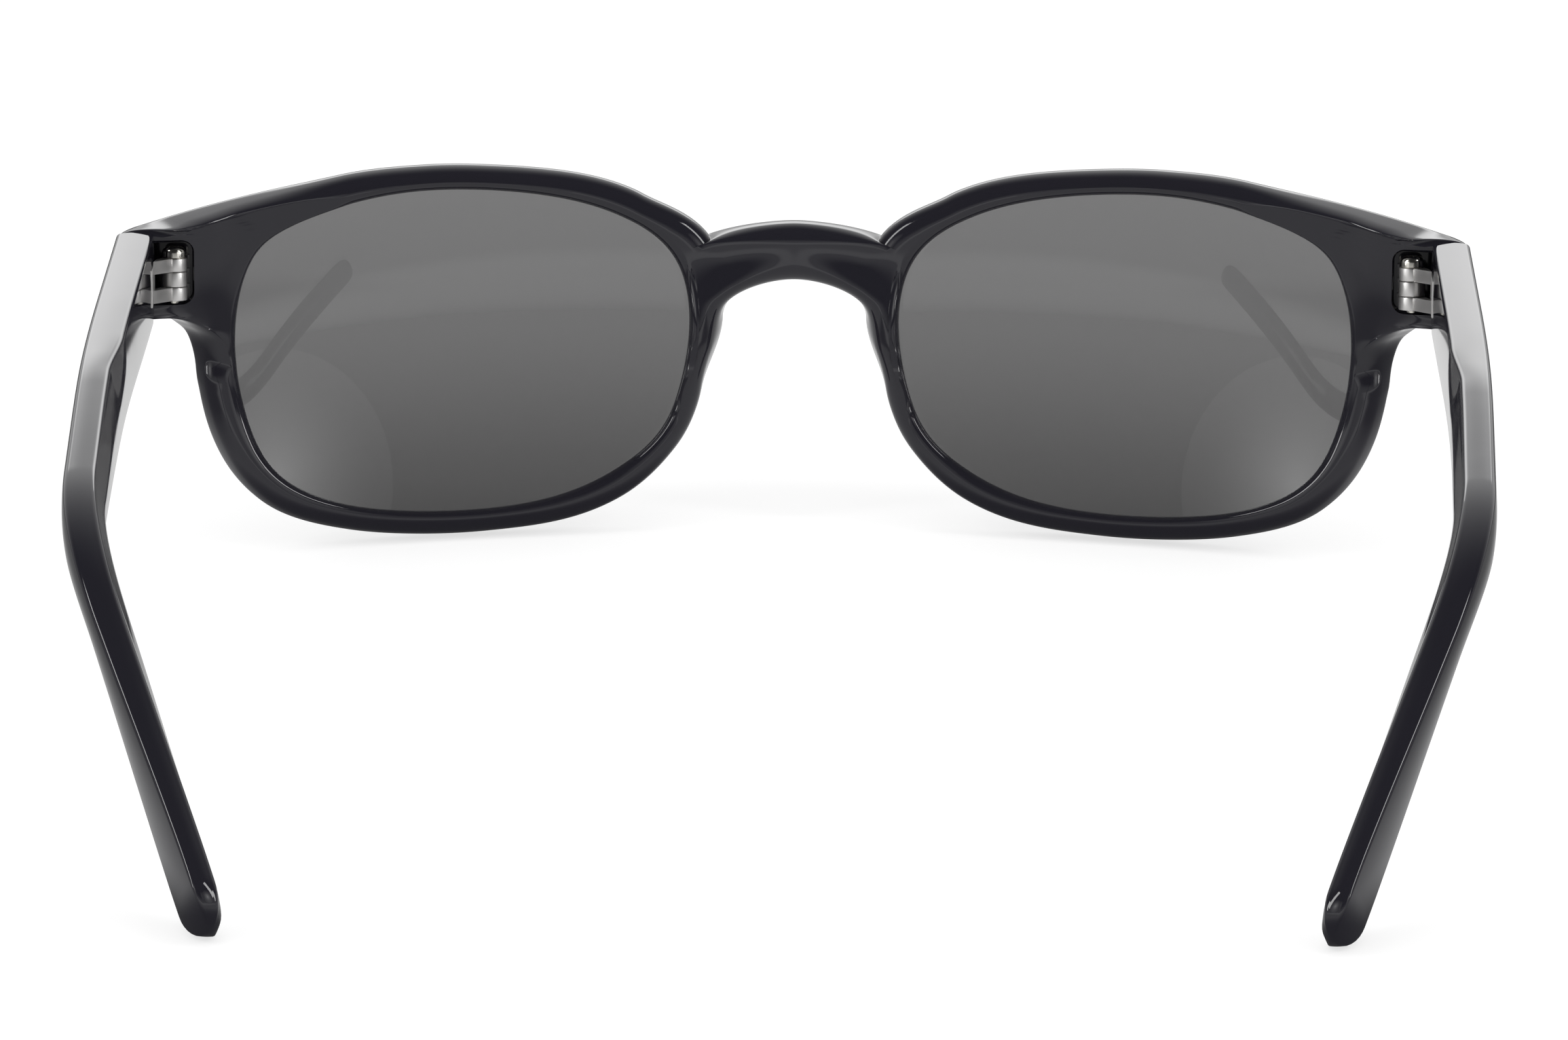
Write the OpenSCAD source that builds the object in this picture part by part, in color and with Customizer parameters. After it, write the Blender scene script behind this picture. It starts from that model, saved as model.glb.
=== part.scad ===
// Motorcycle sunglasses: a moulded wrap front, two curved tinted lenses and
// two hooked temples on three-barrel screw hinges. Millimetres, +Z up,
// +X to the wearer's right, +Y the way the wearer looks. The pair stands
// open on the bottoms of its rims and the tips of its temples.

/* [Front] */
// Width of a lens opening, measured across the front face
lens_w = 49.1; // [45:0.1:52]
// Height of a lens opening, measured on the front face
lens_h = 35.4; // [32:0.1:38]
// Gap between the two lens openings at the nose
bridge_gap = 22.2; // [19:0.1:25]
// Height of the middle of the openings over the bottom of the rims
lens_mid = 19.8; // [19:0.1:21]
// Radius of the front's base curve
base_r = 88; // [80:1:120]
// Distance of each lens curve's centre from the middle, which sets the wrap
wrap_u = 18.2; // [15:0.1:21]
// Tilt of the front against the temples
tilt = 9.5; // [6:0.5:12]
// Thickness of the rims
rim_t = 4.2; // [3.9:0.1:5]
// Thickness of the ends that carry the hinges
end_t = 4.8; // [4.5:0.1:5.4]

/* [Rims] */
// Width of the rim over the lens
rim_top = 2.35; // [2:0.05:3]
// Width of the rim under the lens
rim_bottom = 2.3; // [2:0.05:3]
// Width of the rim at the cheek
rim_cheek = 2.3; // [2:0.05:3]
// Width of the rim beside the nose
rim_nose = 2.4; // [2:0.05:3]
// Width of the rim where it meets the bridge
rim_brow = 4.8; // [4.2:0.05:5.4]
// Height of the bridge at its middle
bridge_h = 6.2; // [5:0.1:8]
// Height of the bridge's top edge over the bottom of the rims
bridge_top = 33.7; // [31:0.1:35]
// Thickness of the bridge
bridge_t = 4.4; // [3.8:0.1:5.2]
// Extra thickness of the rim where it bears on the nose
nose_extra = 1.3; // [0:0.1:2]
// Splay of the nose bearing, sideways per millimetre of depth
nose_splay = 0.16; // [0:0.01:0.35]

/* [Ends] */
// Reach of each end beyond its lens opening
end_reach = 10.4; // [9.6:0.1:12]
// Height of an end's bottom edge
end_low = 24; // [22.5:0.1:24.4]
// Height of an end's outer top corner
end_high = 33; // [32:0.1:34]
// Distance of the butt face behind the bridge
butt_n = 20.2; // [19.8:0.1:21]

/* [Lenses] */
// Thickness of a lens
lens_t = 1.6; // [1.2:0.1:1.9]
// Depth of the lens behind the front face
lens_inset = 0.9; // [0.7:0.1:1.1]
// Depth of the groove that holds the lens
groove = 0.75; // [0.5:0.05:0.9]
// Clearance of the lens in its groove
lens_fit = 0.05; // [0.03:0.01:0.1]

/* [Temples] */
// Length of a temple along its middle line
temple_l = 140; // [132:1:150]
// Length from the butt to the bend
bend_s = 95; // [90:1:104]
// Thickness of a temple
temple_t = 3.9; // [3.4:0.1:4.4]
// Thickness of a temple at its tip
tip_t = 3.2; // [2.8:0.1:4]
// Height of a temple at the butt
butt_h = 9.8; // [8.6:0.1:10.4]
// Height of a temple at the bend
bend_h = 6.4; // [5.5:0.1:8]
// Height of a temple near its tip
tip_h = 7.6; // [6:0.1:9]
// Downward angle of the ear hook
hook_drop = 42; // [38:1:46]
// Inward angle of the ear hook
hook_in = 19; // [14:1:24]
// Turn of the ear hook about its own length at the tip
hook_roll = 13; // [0:1:18]
// Inward angle of the straight part
temple_in = 2.3; // [1:0.1:4]
// Length of the bend
bend_l = 22; // [18:1:36]
// Gap between the butt faces
butt_gap = 0.08; // [0.05:0.01:0.2]
// Length of the level, square part behind the butt
level_l = 46; // [36:1:52]
// Width of the facet along the inner top edge behind it
facet = 0.7; // [0:0.1:1.2]

/* [Hinges] */
// Diameter of the barrels
barrel_d = 2.8; // [2.6:0.1:3]
// Height of each barrel of the temple leaf
barrel_h = 1.4; // [1.2:0.1:1.6]
// Height of the slot between them
slot_h = 1.65; // [1.5:0.05:1.9]
// Clearance over and under the front leaf's barrel
slot_fit = 0.05; // [0.03:0.01:0.1]
// Diameter of the hinge screw
screw_d = 1.4; // [1.2:0.1:1.5]
// Clearance round the screw in the front leaf's barrel
screw_fit = 0.05; // [0.02:0.01:0.08]
// Distance of the hinge axis from the outer side
hinge_in = 5.9; // [5.7:0.1:6.1]
// Distance of the hinge axis in front of the butt face
hinge_n = 1.6; // [1.4:0.1:1.8]
// Height of the middle of the hinge
hinge_w = 28.3; // [27.8:0.1:28.8]
// Length of the plate let into the temple
plate_l = 3.5; // [3:0.5:8]
// Thickness of the plate let into the temple
plate_t = 1; // [0.8:0.1:1.2]

/* [Hidden] */
$fn = 48;

gloss_black = [0.06, 0.06, 0.07];
smoke = [0.25, 0.25, 0.26];
steel = [0.55, 0.55, 0.55];

function mix(a, b, t) = a + (b - a) * t;
function clip(t) = min(1, max(0, t));
function ease(t) = let (c = clip(t)) c * c * (3 - 2 * c);
function unit(v) = v / norm(v);
// Smooth curve through points p, at control number t
function through(p, t, closed) =
    let (
        n = len(p),
        k = closed ? floor(t) : min(n - 2, max(0, floor(t))),
        f = t - k,
        at = function (i) closed ? p[(i + 4 * n) % n] : p[min(n - 1, max(0, i))],
        a = at(k - 1), b = at(k), c = at(k + 1), d = at(k + 2)
    )
    0.5 * (2 * b + (c - a) * f + (2 * a - 5 * b + 4 * c - d) * f * f
           + (3 * b - a - 3 * c + d) * f * f * f);
// Smooth value between [place, value] pairs
function between(list, x, k = 0) =
    x <= list[0][0] ? list[0][1]
    : k > len(list) - 2 ? list[len(list) - 1][1]
    : x <= list[k + 1][0]
        ? mix(list[k][1], list[k + 1][1], ease((x - list[k][0]) / (list[k + 1][0] - list[k][0])))
    : between(list, x, k + 1);

// The front is drawn on three directions: u sideways, w up along it, and n
// from its front face towards the wearer.
lens_u = bridge_gap / 2 + lens_w / 2;
curve_w = lens_mid + 0.2;
flat_u = bridge_gap / 2 + lens_w + 0.8;

// Distance of the front face behind the bridge, a sphere between the flat
// middle and the straight ends
function dome(q, w) = base_r - sqrt(base_r * base_r - q * q - (w - curve_w) * (w - curve_w));
function face_n(u, w) =
    let (
        q = max(u - wrap_u, 0),
        q1 = flat_u - wrap_u,
        h = sqrt(base_r * base_r - q1 * q1 - (w - curve_w) * (w - curve_w))
    )
    q <= q1 ? dome(q, w) : dome(q1, w) + (q - q1) * q1 / h;
// Length over which an end turns square to its butt
square_l = 4.6;
// Direction from the front face into the material
function face_in(u, w) =
    let (
        q = min(max(u - wrap_u, 0), flat_u - wrap_u),
        c = (w - curve_w) / base_r,
        s = [-q / base_r, -c, sqrt(1 - q * q / base_r / base_r - c * c)],
        square = ease((u - (end_u - square_l)) / (square_l - 0.6))
    )
    unit(mix(s, [0, 0, 1], square));
// Height range and blend of the nose bearings
nose_low = lens_mid - lens_h * 0.22;
nose_high = lens_mid + lens_h * 0.26;
nose_blend = 6;
// Blend from a rim into its end
end_blend = 4;
// Thickness of the front at a point of its face
function depth_at(u, w) =
    let (
        near_end = ease((u - flat_u + 1) / end_blend) * ease((w - end_low + 5) / end_blend),
        nose = ease((lens_u - lens_w * 0.36 - u) / nose_blend)
            * ease((w - nose_low) / nose_blend) * ease((nose_high - w) / nose_blend),
        t = mix(rim_t, end_t, near_end) + nose_extra * nose
    )
    min(t, (butt_n - face_n(u, w)) / face_in(u, w)[2]);
// A point at depth d under the face, as [u, w, n]
function under(u, w, d) = let (v = face_in(u, w)) [u, w, face_n(u, w)] + d * [v[0], v[1], v[2]];
// A point of the lens sphere at depth d, straight over a place
function on_lens(u, w, d) =
    let (r = base_r - d)
    [u, w, base_r - sqrt(r * r - (u - wrap_u) * (u - wrap_u) - (w - curve_w) * (w - curve_w))];

// Edge of a lens opening, in shares of its half width and half height, from
// the temple side over the brow
opening = [[1, 0.05], [0.95, 0.52], [0.77, 0.785], [0.39, 0.955], [0, 1], [-0.395, 0.953],
           [-0.71, 0.825], [-0.925, 0.59], [-1, 0.2], [-0.955, -0.25], [-0.82, -0.6],
           [-0.506, -0.871], [-0.118, -0.985], [0.265, -0.991], [0.567, -0.924],
           [0.8, -0.755], [0.935, -0.44]];
sides = len(opening);
// Steps between two points of the edge: finer where the end is
function steps(k) = (k == sides - 1 || k < 2) ? 9 : 5;
stations = [for (k = [0 : sides - 1]) for (j = [0 : steps(k) - 1]) k + j / steps(k)];
count = len(stations);
function edge(t) =
    let (p = through(opening, t, true))
    [lens_u + p[0] * lens_w / 2, lens_mid + p[1] * lens_h / 2];
function outward(t) = let (d = edge(t + 0.05) - edge(t - 0.05)) unit([d[1], -d[0]]);

// Rim widths round the opening, by the number of the opening's point
brow_k = 7;
nose_k = 8;
end_k0 = -0.45;
end_k1 = 2.8;
rim_at = [[-0.5, rim_cheek * 1.38], [2.4, rim_top * 1.23], [3.6, rim_top], [4.2, rim_top],
          [6.1, rim_top * 1.25], [brow_k, rim_brow], [nose_k, rim_nose * 1.55],
          [nose_k + 0.9, rim_nose], [nose_k + 1.8, rim_nose], [10.6, rim_bottom * 1.22],
          [12, rim_bottom], [13.6, rim_bottom], [14.9, rim_cheek * 1.15], [16.3, rim_cheek * 1.38]];
// How far the notch over the bridge is sunk
notch = 0.95;
function rim_edge(t) =
    edge(t) + outward(t) * between(rim_at, t < -0.5 ? t + sides : t)
    - [0, notch * ease(1 - abs(t - brow_k))];

// Outline of an end, from the rim's cheek round the butt to the brow
end_u = bridge_gap / 2 + lens_w + end_reach;
end_line = concat(
    [rim_edge(end_k0)],
    [for (p = [[-6.5, -2.3], [-5.1, -0.5], [-3.4, 0.35], [-1.3, 0.1]]) [end_u, end_low] + p],
    [for (p = [[-0.2, 0.75], [0, 2.8]]) [end_u, end_low] + p],
    [for (p = [[0, -2.3], [-0.1, -0.7], [-0.8, 0.3], [-4.6, 1.6], [-10.6, 3.15]])
        [end_u, end_high] + p],
    [rim_edge(end_k1)]);
function outline(t) =
    let (s = t > end_k1 + 1 && t >= sides + end_k0 ? t - sides : t)
    s >= end_k0 && s <= end_k1
        ? through(end_line, (s - end_k0) / (end_k1 - end_k0) * (len(end_line) - 1), false)
        : rim_edge(t);

// Section of the rim: rounded front edges, a crowned rear and the groove
front_turn = [0, 30, 60, 90];
rear_turn = [0, 22.5, 45, 67.5, 90];
front_round = 0.8;
rear_round = 1.6;
inner_round = 1.1;
butt_round = 0.35;
// How far a point belongs to the butt, where the rear edges stay crisp
function at_butt(p) = ease((p[0] - (end_u - 6)) / 3) * ease((p[1] - end_low + 2) / 2);
// Shares of the rim's width that the rear rounding takes, where the rim runs
// upright, and how far the ridge between them lies higher where it runs level
outer_share = 0.5;
inner_share = 0.42;
ridge_up = 0.1;
// Outer half of the section: [distance from the outer edge, depth], with dir
// the direction from the opening to the outer edge
function outer_part(k, w, t, p, dir) =
    let (
        nf = len(front_turn) - 1,
        ef = min(0.36 * w, front_round),
        r = mix(rear_round, butt_round, at_butt(p)),
        er = min((outer_share - ridge_up * dir[1]) * w, r),
        a = k <= nf ? front_turn[nf - k] : rear_turn[k - nf - 1]
    )
    k <= nf ? [ef * (1 - cos(a)), ef * (1 - sin(a))] : [er * (1 - cos(a)), t - r * (1 - sin(a))];
outer_n = len(front_turn) + len(rear_turn);
// Splay of the outer wall at a point of the outline
function splay_at(p) = p[0] > lens_u ? 0
    : nose_splay * ease((p[1] - nose_low - 2) / nose_blend) * ease((nose_high + 1 - p[1]) / nose_blend);
function section(t) =
    let (
        a = edge(t),
        b = outline(t),
        w = norm(b - a),
        dir = (b - a) / w,
        ef = min(0.3 * w, front_round),
        ei = min((inner_share + ridge_up * dir[1]) * w, inner_round),
        g1 = lens_inset - lens_fit,
        g2 = lens_inset + lens_t + lens_fit,
        wall1 = under(a[0], a[1], g1),
        wall2 = under(a[0], a[1], g2),
        seat = lens_edge(t, groove)
    )
    concat(
        [on_lens(wall1[0], wall1[1], g1)],
        [for (f = front_turn)
            let (p = a + dir * ef * (1 - cos(f))) under(p[0], p[1], ef * (1 - sin(f)))],
        [for (k = [0 : outer_n - 1]) ring_outer(t, k)],
        [for (m = [len(rear_turn) - 1 : -1 : 0])
            let (f = rear_turn[m], p = a + dir * ei * (1 - cos(f)))
            under(p[0], p[1], depth_at(p[0], p[1]) - inner_round * (1 - sin(f)))],
        [on_lens(wall2[0], wall2[1], g2), on_lens(seat[0], seat[1], g2), on_lens(seat[0], seat[1], g1)]);
// Place and depth of a point of the outer half, as [u, w, depth]
function ring_flat(t, k) =
    let (
        a = edge(t),
        b = outline(t),
        w = norm(b - a),
        dir = (b - a) / w,
        e0 = outer_part(k, w, rim_t, b, dir),
        p0 = b - dir * e0[0],
        e = outer_part(k, w, depth_at(p0[0], p0[1]), b, dir),
        p = b - dir * (e[0] + splay_at(b) * e[1])
    )
    [p[0], p[1], e[1]];
function ring_outer(t, k) = let (p = ring_flat(t, k)) under(p[0], p[1], p[2]);
// Edge of a lens, let into the wall of the opening by a given depth
function lens_edge(t, into) =
    let (
        a = edge(t),
        m = under(a[0], a[1], lens_inset + lens_t / 2),
        o = outward(t)
    )
    [m[0], m[1]] + o * into;

// The bridge runs from a hole in the ring's outer side to the middle
bridge_i0 = search(brow_k, stations)[0];
bridge_i1 = search(nose_k, stations)[0];
bridge_n = bridge_i1 - bridge_i0;
bridge_rings = 6;
notch_way = [-6.4, 3.6];
arch_way = [-1.3, 7.4];
middle_way = 6;
loop = concat([for (k = [0 : outer_n - 1]) [0, k]],
              [for (i = [1 : bridge_n]) [i, outer_n - 1]],
              [for (k = [outer_n - 2 : -1 : 0]) [bridge_n, k]],
              [for (i = [bridge_n - 1 : -1 : 1]) [i, 0]]);
function hermite(a, ta, b, tb, f) =
    a * (1 - 3 * f * f + 2 * f * f * f) + ta * (f - 2 * f * f + f * f * f)
    + b * (3 * f * f - 2 * f * f * f) + tb * (f * f * f - f * f);
function bridge_point(i, k, f) =
    let (
        a = ring_flat(stations[bridge_i0 + i], k),
        e = outer_part(k, bridge_h, bridge_t, [0, 0], [0, 0]),
        share = i / bridge_n,
        b = [0, mix(bridge_top - e[0], bridge_top - bridge_h + e[0], share), e[1]],
        way = mix(notch_way, arch_way, share),
        p = hermite([a[0], a[1]], way, [b[0], b[1]], [-middle_way, 0], f),
        d = mix(a[2], b[2], ease(f))
    )
    under(p[0], p[1], d);

// All points of the front as [u, -n, w], right half, left half, then middle
half_rings = [for (t = stations) section(t)];
ring_size = len(half_rings[0]);
half_bridge = [for (j = [1 : bridge_rings - 1]) [for (l = loop) bridge_point(l[0], l[1], j / bridge_rings)]];
middle_ring = [for (l = loop) bridge_point(l[0], l[1], 1)];
function flat_list(rows) = [for (r = rows) for (p = r) p];
function turned(p, side) = [side * p[0], -p[2], p[1]];
right_points = [for (p = concat(flat_list(half_rings), flat_list(half_bridge))) turned(p, 1)];
half_n = len(right_points);
front_points = concat(right_points, [for (p = right_points) [-p[0], p[1], p[2]]],
                      [for (p = middle_ring) turned(p, 1)]);
outer_j0 = 5;
outer_j1 = outer_j0 + outer_n - 1;
function ring_id(i, j) = (i % count) * ring_size + (j % ring_size);
function loop_id(r, l, half) =
    let (q = l % len(loop))
    r == 0 ? half * half_n + ring_id(bridge_i0 + loop[q][0], outer_j0 + loop[q][1])
    : r == bridge_rings ? 2 * half_n + q
    : half * half_n + count * ring_size + (r - 1) * len(loop) + q;
function quad(a, b, c, d) = [[a, b, c], [a, c, d]];
function open_cell(i, j) = i >= bridge_i0 && i < bridge_i1 && j >= outer_j0 && j < outer_j1;
ring_faces = [for (i = [0 : count - 1]) for (j = [0 : ring_size - 1]) if (!open_cell(i, j))
    for (f = quad(ring_id(i, j), ring_id(i, j + 1), ring_id(i + 1, j + 1), ring_id(i + 1, j))) f];
function bridge_faces(half) = [for (r = [0 : bridge_rings - 1]) for (l = [0 : len(loop) - 1])
    for (f = quad(loop_id(r, l, half), loop_id(r, l + 1, half),
                  loop_id(r + 1, l + 1, half), loop_id(r + 1, l, half))) f];
function flip(faces) = [for (f = faces) [f[0], f[2], f[1]]];
front_faces = concat(ring_faces, bridge_faces(0),
    flip([for (f = ring_faces) f + [half_n, half_n, half_n]]), flip(bridge_faces(1)));

// Pose of a point of the front
function posed(p) = [p[0], p[1] * cos(tilt) + p[2] * sin(tilt), -p[1] * sin(tilt) + p[2] * cos(tilt)];

// Middle line of a temple: it runs straight back, then bends down and in
temple_n = 60;
temple_s = [for (i = [0 : temple_n]) temple_l * i / temple_n];
function bend_share(s) = ease((s - bend_s + bend_l / 2) / bend_l);
function drop_at(s) = hook_drop * bend_share(s);
function in_at(s) = temple_in * ease((s - 20) / 50) + (hook_in - temple_in) * bend_share(s);
function summed(v, ds) = [for (i = 0, a = 0; i < len(v);
    a = a + (v[i] + v[min(i + 1, len(v) - 1)]) / 2 * ds, i = i + 1) a];
route_ds = temple_l / temple_n;
route_in = summed([for (s = temple_s) sin(in_at(s))], route_ds);
route_back = summed([for (s = temple_s) cos(in_at(s)) * cos(drop_at(s))], route_ds);
route_down = summed([for (s = temple_s) sin(drop_at(s))], route_ds);
// Height of a temple along its length
function height_at(s) = between([[0, butt_h], [level_l, butt_h - 0.7], [bend_s, bend_h],
                                 [temple_l - 8, tip_h], [temple_l, tip_h - 0.4]], s);
temple_u = end_u - temple_t / 2;
temple_top = posed([0, -butt_n, end_high + 0.25])[2];
butt_y = posed([0, -butt_n, hinge_w])[1];
tip_round = 3.8;
temple_edge = 0.6;
temple_crown = 0.15;
// Facet of the inner top edge, which starts before the end of the level part
// and takes a short length to its full width
facet_lead = 7;
facet_l = 13;
function facet_at(s) = facet * ease((s - level_l + facet_lead) / facet_l);
// Section of a temple: a crowned bar with small rounded edges, whose inner
// side leans out over its ridge where the facet is, as [sideways, up]
function bar(t, h, lean) =
    let (r = temple_edge, a = t / 2, b = h / 2)
    concat(
        [[a + temple_crown, 0]],
        [for (f = [8, 45, 82]) [a - r + r * cos(f), b - r + r * sin(f)]],
        [[lean / 2, b + temple_crown / 2]],
        [for (f = [98, 135, 172]) [lean - a + r + r * cos(f), b - r + r * sin(f)]],
        [[-a - temple_crown, 0]],
        [for (f = [188, 225, 262]) [-a + r + r * cos(f), -b + r + r * sin(f)]],
        [[0, -b - temple_crown / 2]],
        [for (f = [278, 315, 352]) [a - r + r * cos(f), -b + r + r * sin(f)]]);
bar_n = len(bar(temple_t, butt_h, 0));
// Share of the slight fall from the level part to the bend: straight between
// two short curves
fall_blend = 0.22;
function fall_share(s) =
    let (x = clip((s - level_l) / (bend_s - level_l)), b = fall_blend)
    (x < b ? x * x / b / 2 : x > 1 - b ? 1 - b - (1 - x) * (1 - x) / b / 2 : x - b / 2) / (1 - b);
// How far the ear hook has come towards its tip, for its thickness and turn
function hook_share(s) = ease((s - bend_s) / (temple_l - bend_s));
// Ring of a temple at step i, drawn in and moved along for the rounded tip,
// let down by settle behind its square part
function temple_ring(i, shrink, along, settle) =
    let (
        s = temple_s[i],
        h = height_at(s),
        k = bend_share(s),
        z = temple_top - butt_h / 2 - route_down[i] + (butt_h - h) / 2 * (1 - k)
            + (butt_h - bend_h) / 2 * k - settle * fall_share(s),
        fall = drop_at(s),
        turn = in_at(s)
    )
    let (thick = mix(temple_t, tip_t, hook_share(s)), roll = hook_roll * hook_share(s))
    [for (p = bar(thick, h, facet_at(s)))
        let (q = [p[0] * cos(roll) - p[1] * sin(roll), p[0] * sin(roll) + p[1] * cos(roll)] * shrink)
        [temple_u - route_in[i] + q[0] * cos(turn) - along * sin(turn),
         butt_y - route_back[i] - q[0] * sin(turn) - q[1] * sin(fall) - along * cos(turn) * cos(fall),
         z + q[1] * cos(fall) - along * sin(fall)]];
// The butt ring lies on the butt face
butt_ring = [for (p = temple_ring(0, 1, 0, 0))
    [p[0], (p[2] * sin(tilt) - butt_n - butt_gap) / cos(tilt), p[2]]];
tip_turn = [25, 50, 70, 84];
function rings(settle) = concat([butt_ring], [for (i = [2 : temple_n - 2]) temple_ring(i, 1, 0, settle)],
    [for (f = tip_turn) temple_ring(temple_n - 2, cos(f), tip_round * sin(f), settle)]);
// The tips come down to the level of the bottoms of the rims
front_posed = [for (p = front_points) posed(p)];
front_low = min([for (p = front_posed) p[2]]);
tip_low = min([for (p = flat_list(rings(0))) p[2]]);
temple_rings = rings(tip_low - front_low);
temple_points = flat_list(temple_rings);
temple_faces = concat(
    [for (i = [0 : len(temple_rings) - 2]) for (j = [0 : bar_n - 1])
        for (f = quad(i * bar_n + j, (i + 1) * bar_n + j,
                      (i + 1) * bar_n + (j + 1) % bar_n, i * bar_n + (j + 1) % bar_n)) f],
    [for (j = [1 : bar_n - 2]) [0, j, j + 1]],
    [for (j = [1 : bar_n - 2])
        let (b = (len(temple_rings) - 1) * bar_n) [b, b + j + 1, b + j]]);

// The origin lies on the table, in the middle of the outer box
all_y = concat([for (p = front_posed) p[1]], [for (p = temple_points) p[1]]);
origin = [0, (max(all_y) + min(all_y)) / 2, front_low];

module front_pose() translate(-origin) rotate([-tilt, 0, 0]) children();
module temple_pose() translate(-origin) children();
module handed(side) if (side > 0) children(); else mirror([1, 0, 0]) children();

// Hinge axis and what is built round it
hinge_u = end_u - hinge_in;
axis_n = butt_n - hinge_n;
hinge_h = 2 * barrel_h + slot_h;
hinge_low = hinge_w - hinge_h / 2;
pocket_floor = axis_n - barrel_d / 2 - 0.7;
pocket_in = hinge_u - barrel_d / 2 - 0.8;
pocket_out = end_u - temple_t + 0.6;
pocket_low = hinge_low - 0.35;
pocket_high = hinge_low + hinge_h + 1.9;
pocket_round = 1.2;
anchor_deep = 1.2;
anchor_u = barrel_d - 0.4;
head_d = 2.5;
head_h = 1.2;
slot_w = 0.4;
slot_deep = 0.45;
tail = 0.3;

module at_axis() translate([hinge_u, -axis_n, 0]) children();
// Recess that the hinge sits in, and the seat of its anchor
module pocket() {
    rotate([90, 0, 0])
        translate([0, 0, pocket_floor])
            linear_extrude(butt_n)
                union() {
                    translate([pocket_in + pocket_round, pocket_low])
                        square([pocket_out - pocket_in - pocket_round, pocket_high - pocket_low]);
                    translate([pocket_in, pocket_low + pocket_round])
                        square([pocket_round * 2, pocket_high - pocket_low - 2 * pocket_round]);
                    translate([pocket_in + pocket_round, pocket_low + pocket_round])
                        circle(pocket_round);
                    translate([pocket_in + pocket_round, pocket_high - pocket_round])
                        circle(pocket_round);
                }
    translate([hinge_u - anchor_u / 2, -pocket_floor - 1, hinge_low])
        cube([anchor_u, anchor_deep + 1, hinge_h]);
}

module frame_front() {
    color(gloss_black)
        difference() {
            front_pose() polyhedron(front_points, front_faces);
            front_pose() pocket();
            front_pose() mirror([1, 0, 0]) pocket();
        }
}

lens_line = [for (t = stations) lens_edge(t, groove - lens_fit)];
module lens(side) {
    color(smoke)
        front_pose() handed(side)
            intersection() {
                translate([wrap_u, -base_r, curve_w])
                    difference() {
                        sphere(base_r - lens_inset, $fn = 360);
                        sphere(base_r - lens_inset - lens_t, $fn = 360);
                    }
                rotate([90, 0, 0]) linear_extrude(butt_n) polygon(lens_line);
            }
}

module temple(side) {
    color(gloss_black)
        handed(side)
            difference() {
                temple_pose() polyhedron(temple_points, temple_faces);
                leaf_plate();
            }
}

plate_proud = 0.25;
plate_start = 1.1;
arm_back = 2;
arm_root = 0.6;
arm_tangent = 0.06;
arm_in = 0.05;
temple_inner = temple_u - temple_t / 2 - temple_crown;
hinge_z = posed([0, -butt_n, hinge_w])[2];
// Plate of the temple leaf, let into the temple and square to it
module leaf_plate() {
    temple_pose()
        translate([temple_inner - plate_proud, butt_y - plate_start - plate_l, hinge_z - hinge_h / 2])
            cube([plate_t + plate_proud, plate_l, hinge_h]);
}

// Middle barrel on its tab, and the anchor that is let into the front
module hinge_front_leaf(side) {
    low = hinge_low + barrel_h + slot_fit;
    high = hinge_low + barrel_h + slot_h - slot_fit;
    color(steel)
        front_pose() handed(side)
            difference() {
                union() {
                    translate([0, 0, low]) at_axis() cylinder(h = high - low, d = barrel_d);
                    translate([hinge_u - anchor_u / 2, -axis_n, low])
                        cube([anchor_u, axis_n - pocket_floor, high - low]);
                    translate([hinge_u - anchor_u / 2, -pocket_floor, hinge_low])
                        cube([anchor_u, anchor_deep, hinge_h]);
                }
                translate([0, 0, low - 1])
                    at_axis() cylinder(h = high - low + 2, d = screw_d + 2 * screw_fit);
            }
}

// Upper and lower barrels on their arms, and the plate that carries them
module hinge_temple_leaf(side) {
    color(steel)
        handed(side)
            union() {
                front_pose()
                    for (low = [hinge_low, hinge_low + barrel_h + slot_h])
                        difference() {
                            translate([0, 0, low]) {
                                at_axis() cylinder(h = barrel_h, d = barrel_d);
                                linear_extrude(barrel_h) polygon(arm_line);
                            }
                            translate([0, 0, low - 1]) at_axis() cylinder(h = barrel_h + 2, d = screw_d);
                        }
                leaf_plate();
            }
}
arm_line = [
    [hinge_u, -axis_n - barrel_d / 2 + arm_tangent],
    [hinge_u + barrel_d / 2 - arm_tangent, -axis_n],
    [temple_inner - arm_in, -butt_n - plate_start + arm_root],
    [temple_inner - arm_in, -butt_n - plate_start - arm_back]];

// Slotted screw that pins the three barrels
module hinge_screw(side) {
    top = hinge_low + hinge_h;
    color(steel)
        front_pose() handed(side)
            difference() {
                at_axis()
                    rotate_extrude()
                        polygon([[0, hinge_low - tail], [screw_d / 2, hinge_low - tail],
                                 [screw_d / 2, top], [head_d / 2, top],
                                 [head_d / 2, top + head_h * 0.5],
                                 [head_d / 2 * 0.87, top + head_h * 0.8],
                                 [head_d / 2 * 0.5, top + head_h], [0, top + head_h]]);
                translate([hinge_u - head_d, -axis_n - slot_w / 2, top + head_h - slot_deep])
                    cube([head_d * 2, slot_w, head_h]);
            }
}

frame_front();
lens(-1);  // lens_left
lens(1);  // lens_right
temple(-1);  // temple_left
temple(1);  // temple_right
hinge_front_leaf(-1);  // hinge_front_leaf_left
hinge_front_leaf(1);  // hinge_front_leaf_right
hinge_temple_leaf(-1);  // hinge_temple_leaf_left
hinge_temple_leaf(1);  // hinge_temple_leaf_right
hinge_screw(-1);  // hinge_screw_left
hinge_screw(1);  // hinge_screw_right
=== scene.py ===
"""Looks of the motorcycle sunglasses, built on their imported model.

The moulded front, the lenses, the temples and the hinges are surfaces worked
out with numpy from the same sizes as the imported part. They are in millimetres
here and stored in metres. The front is drawn on (u, w, n): u sideways, w up
along it, and n from its front face towards the wearer.
"""

import bmesh
import bpy
import numpy as np
from mathutils import Matrix, Vector


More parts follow.
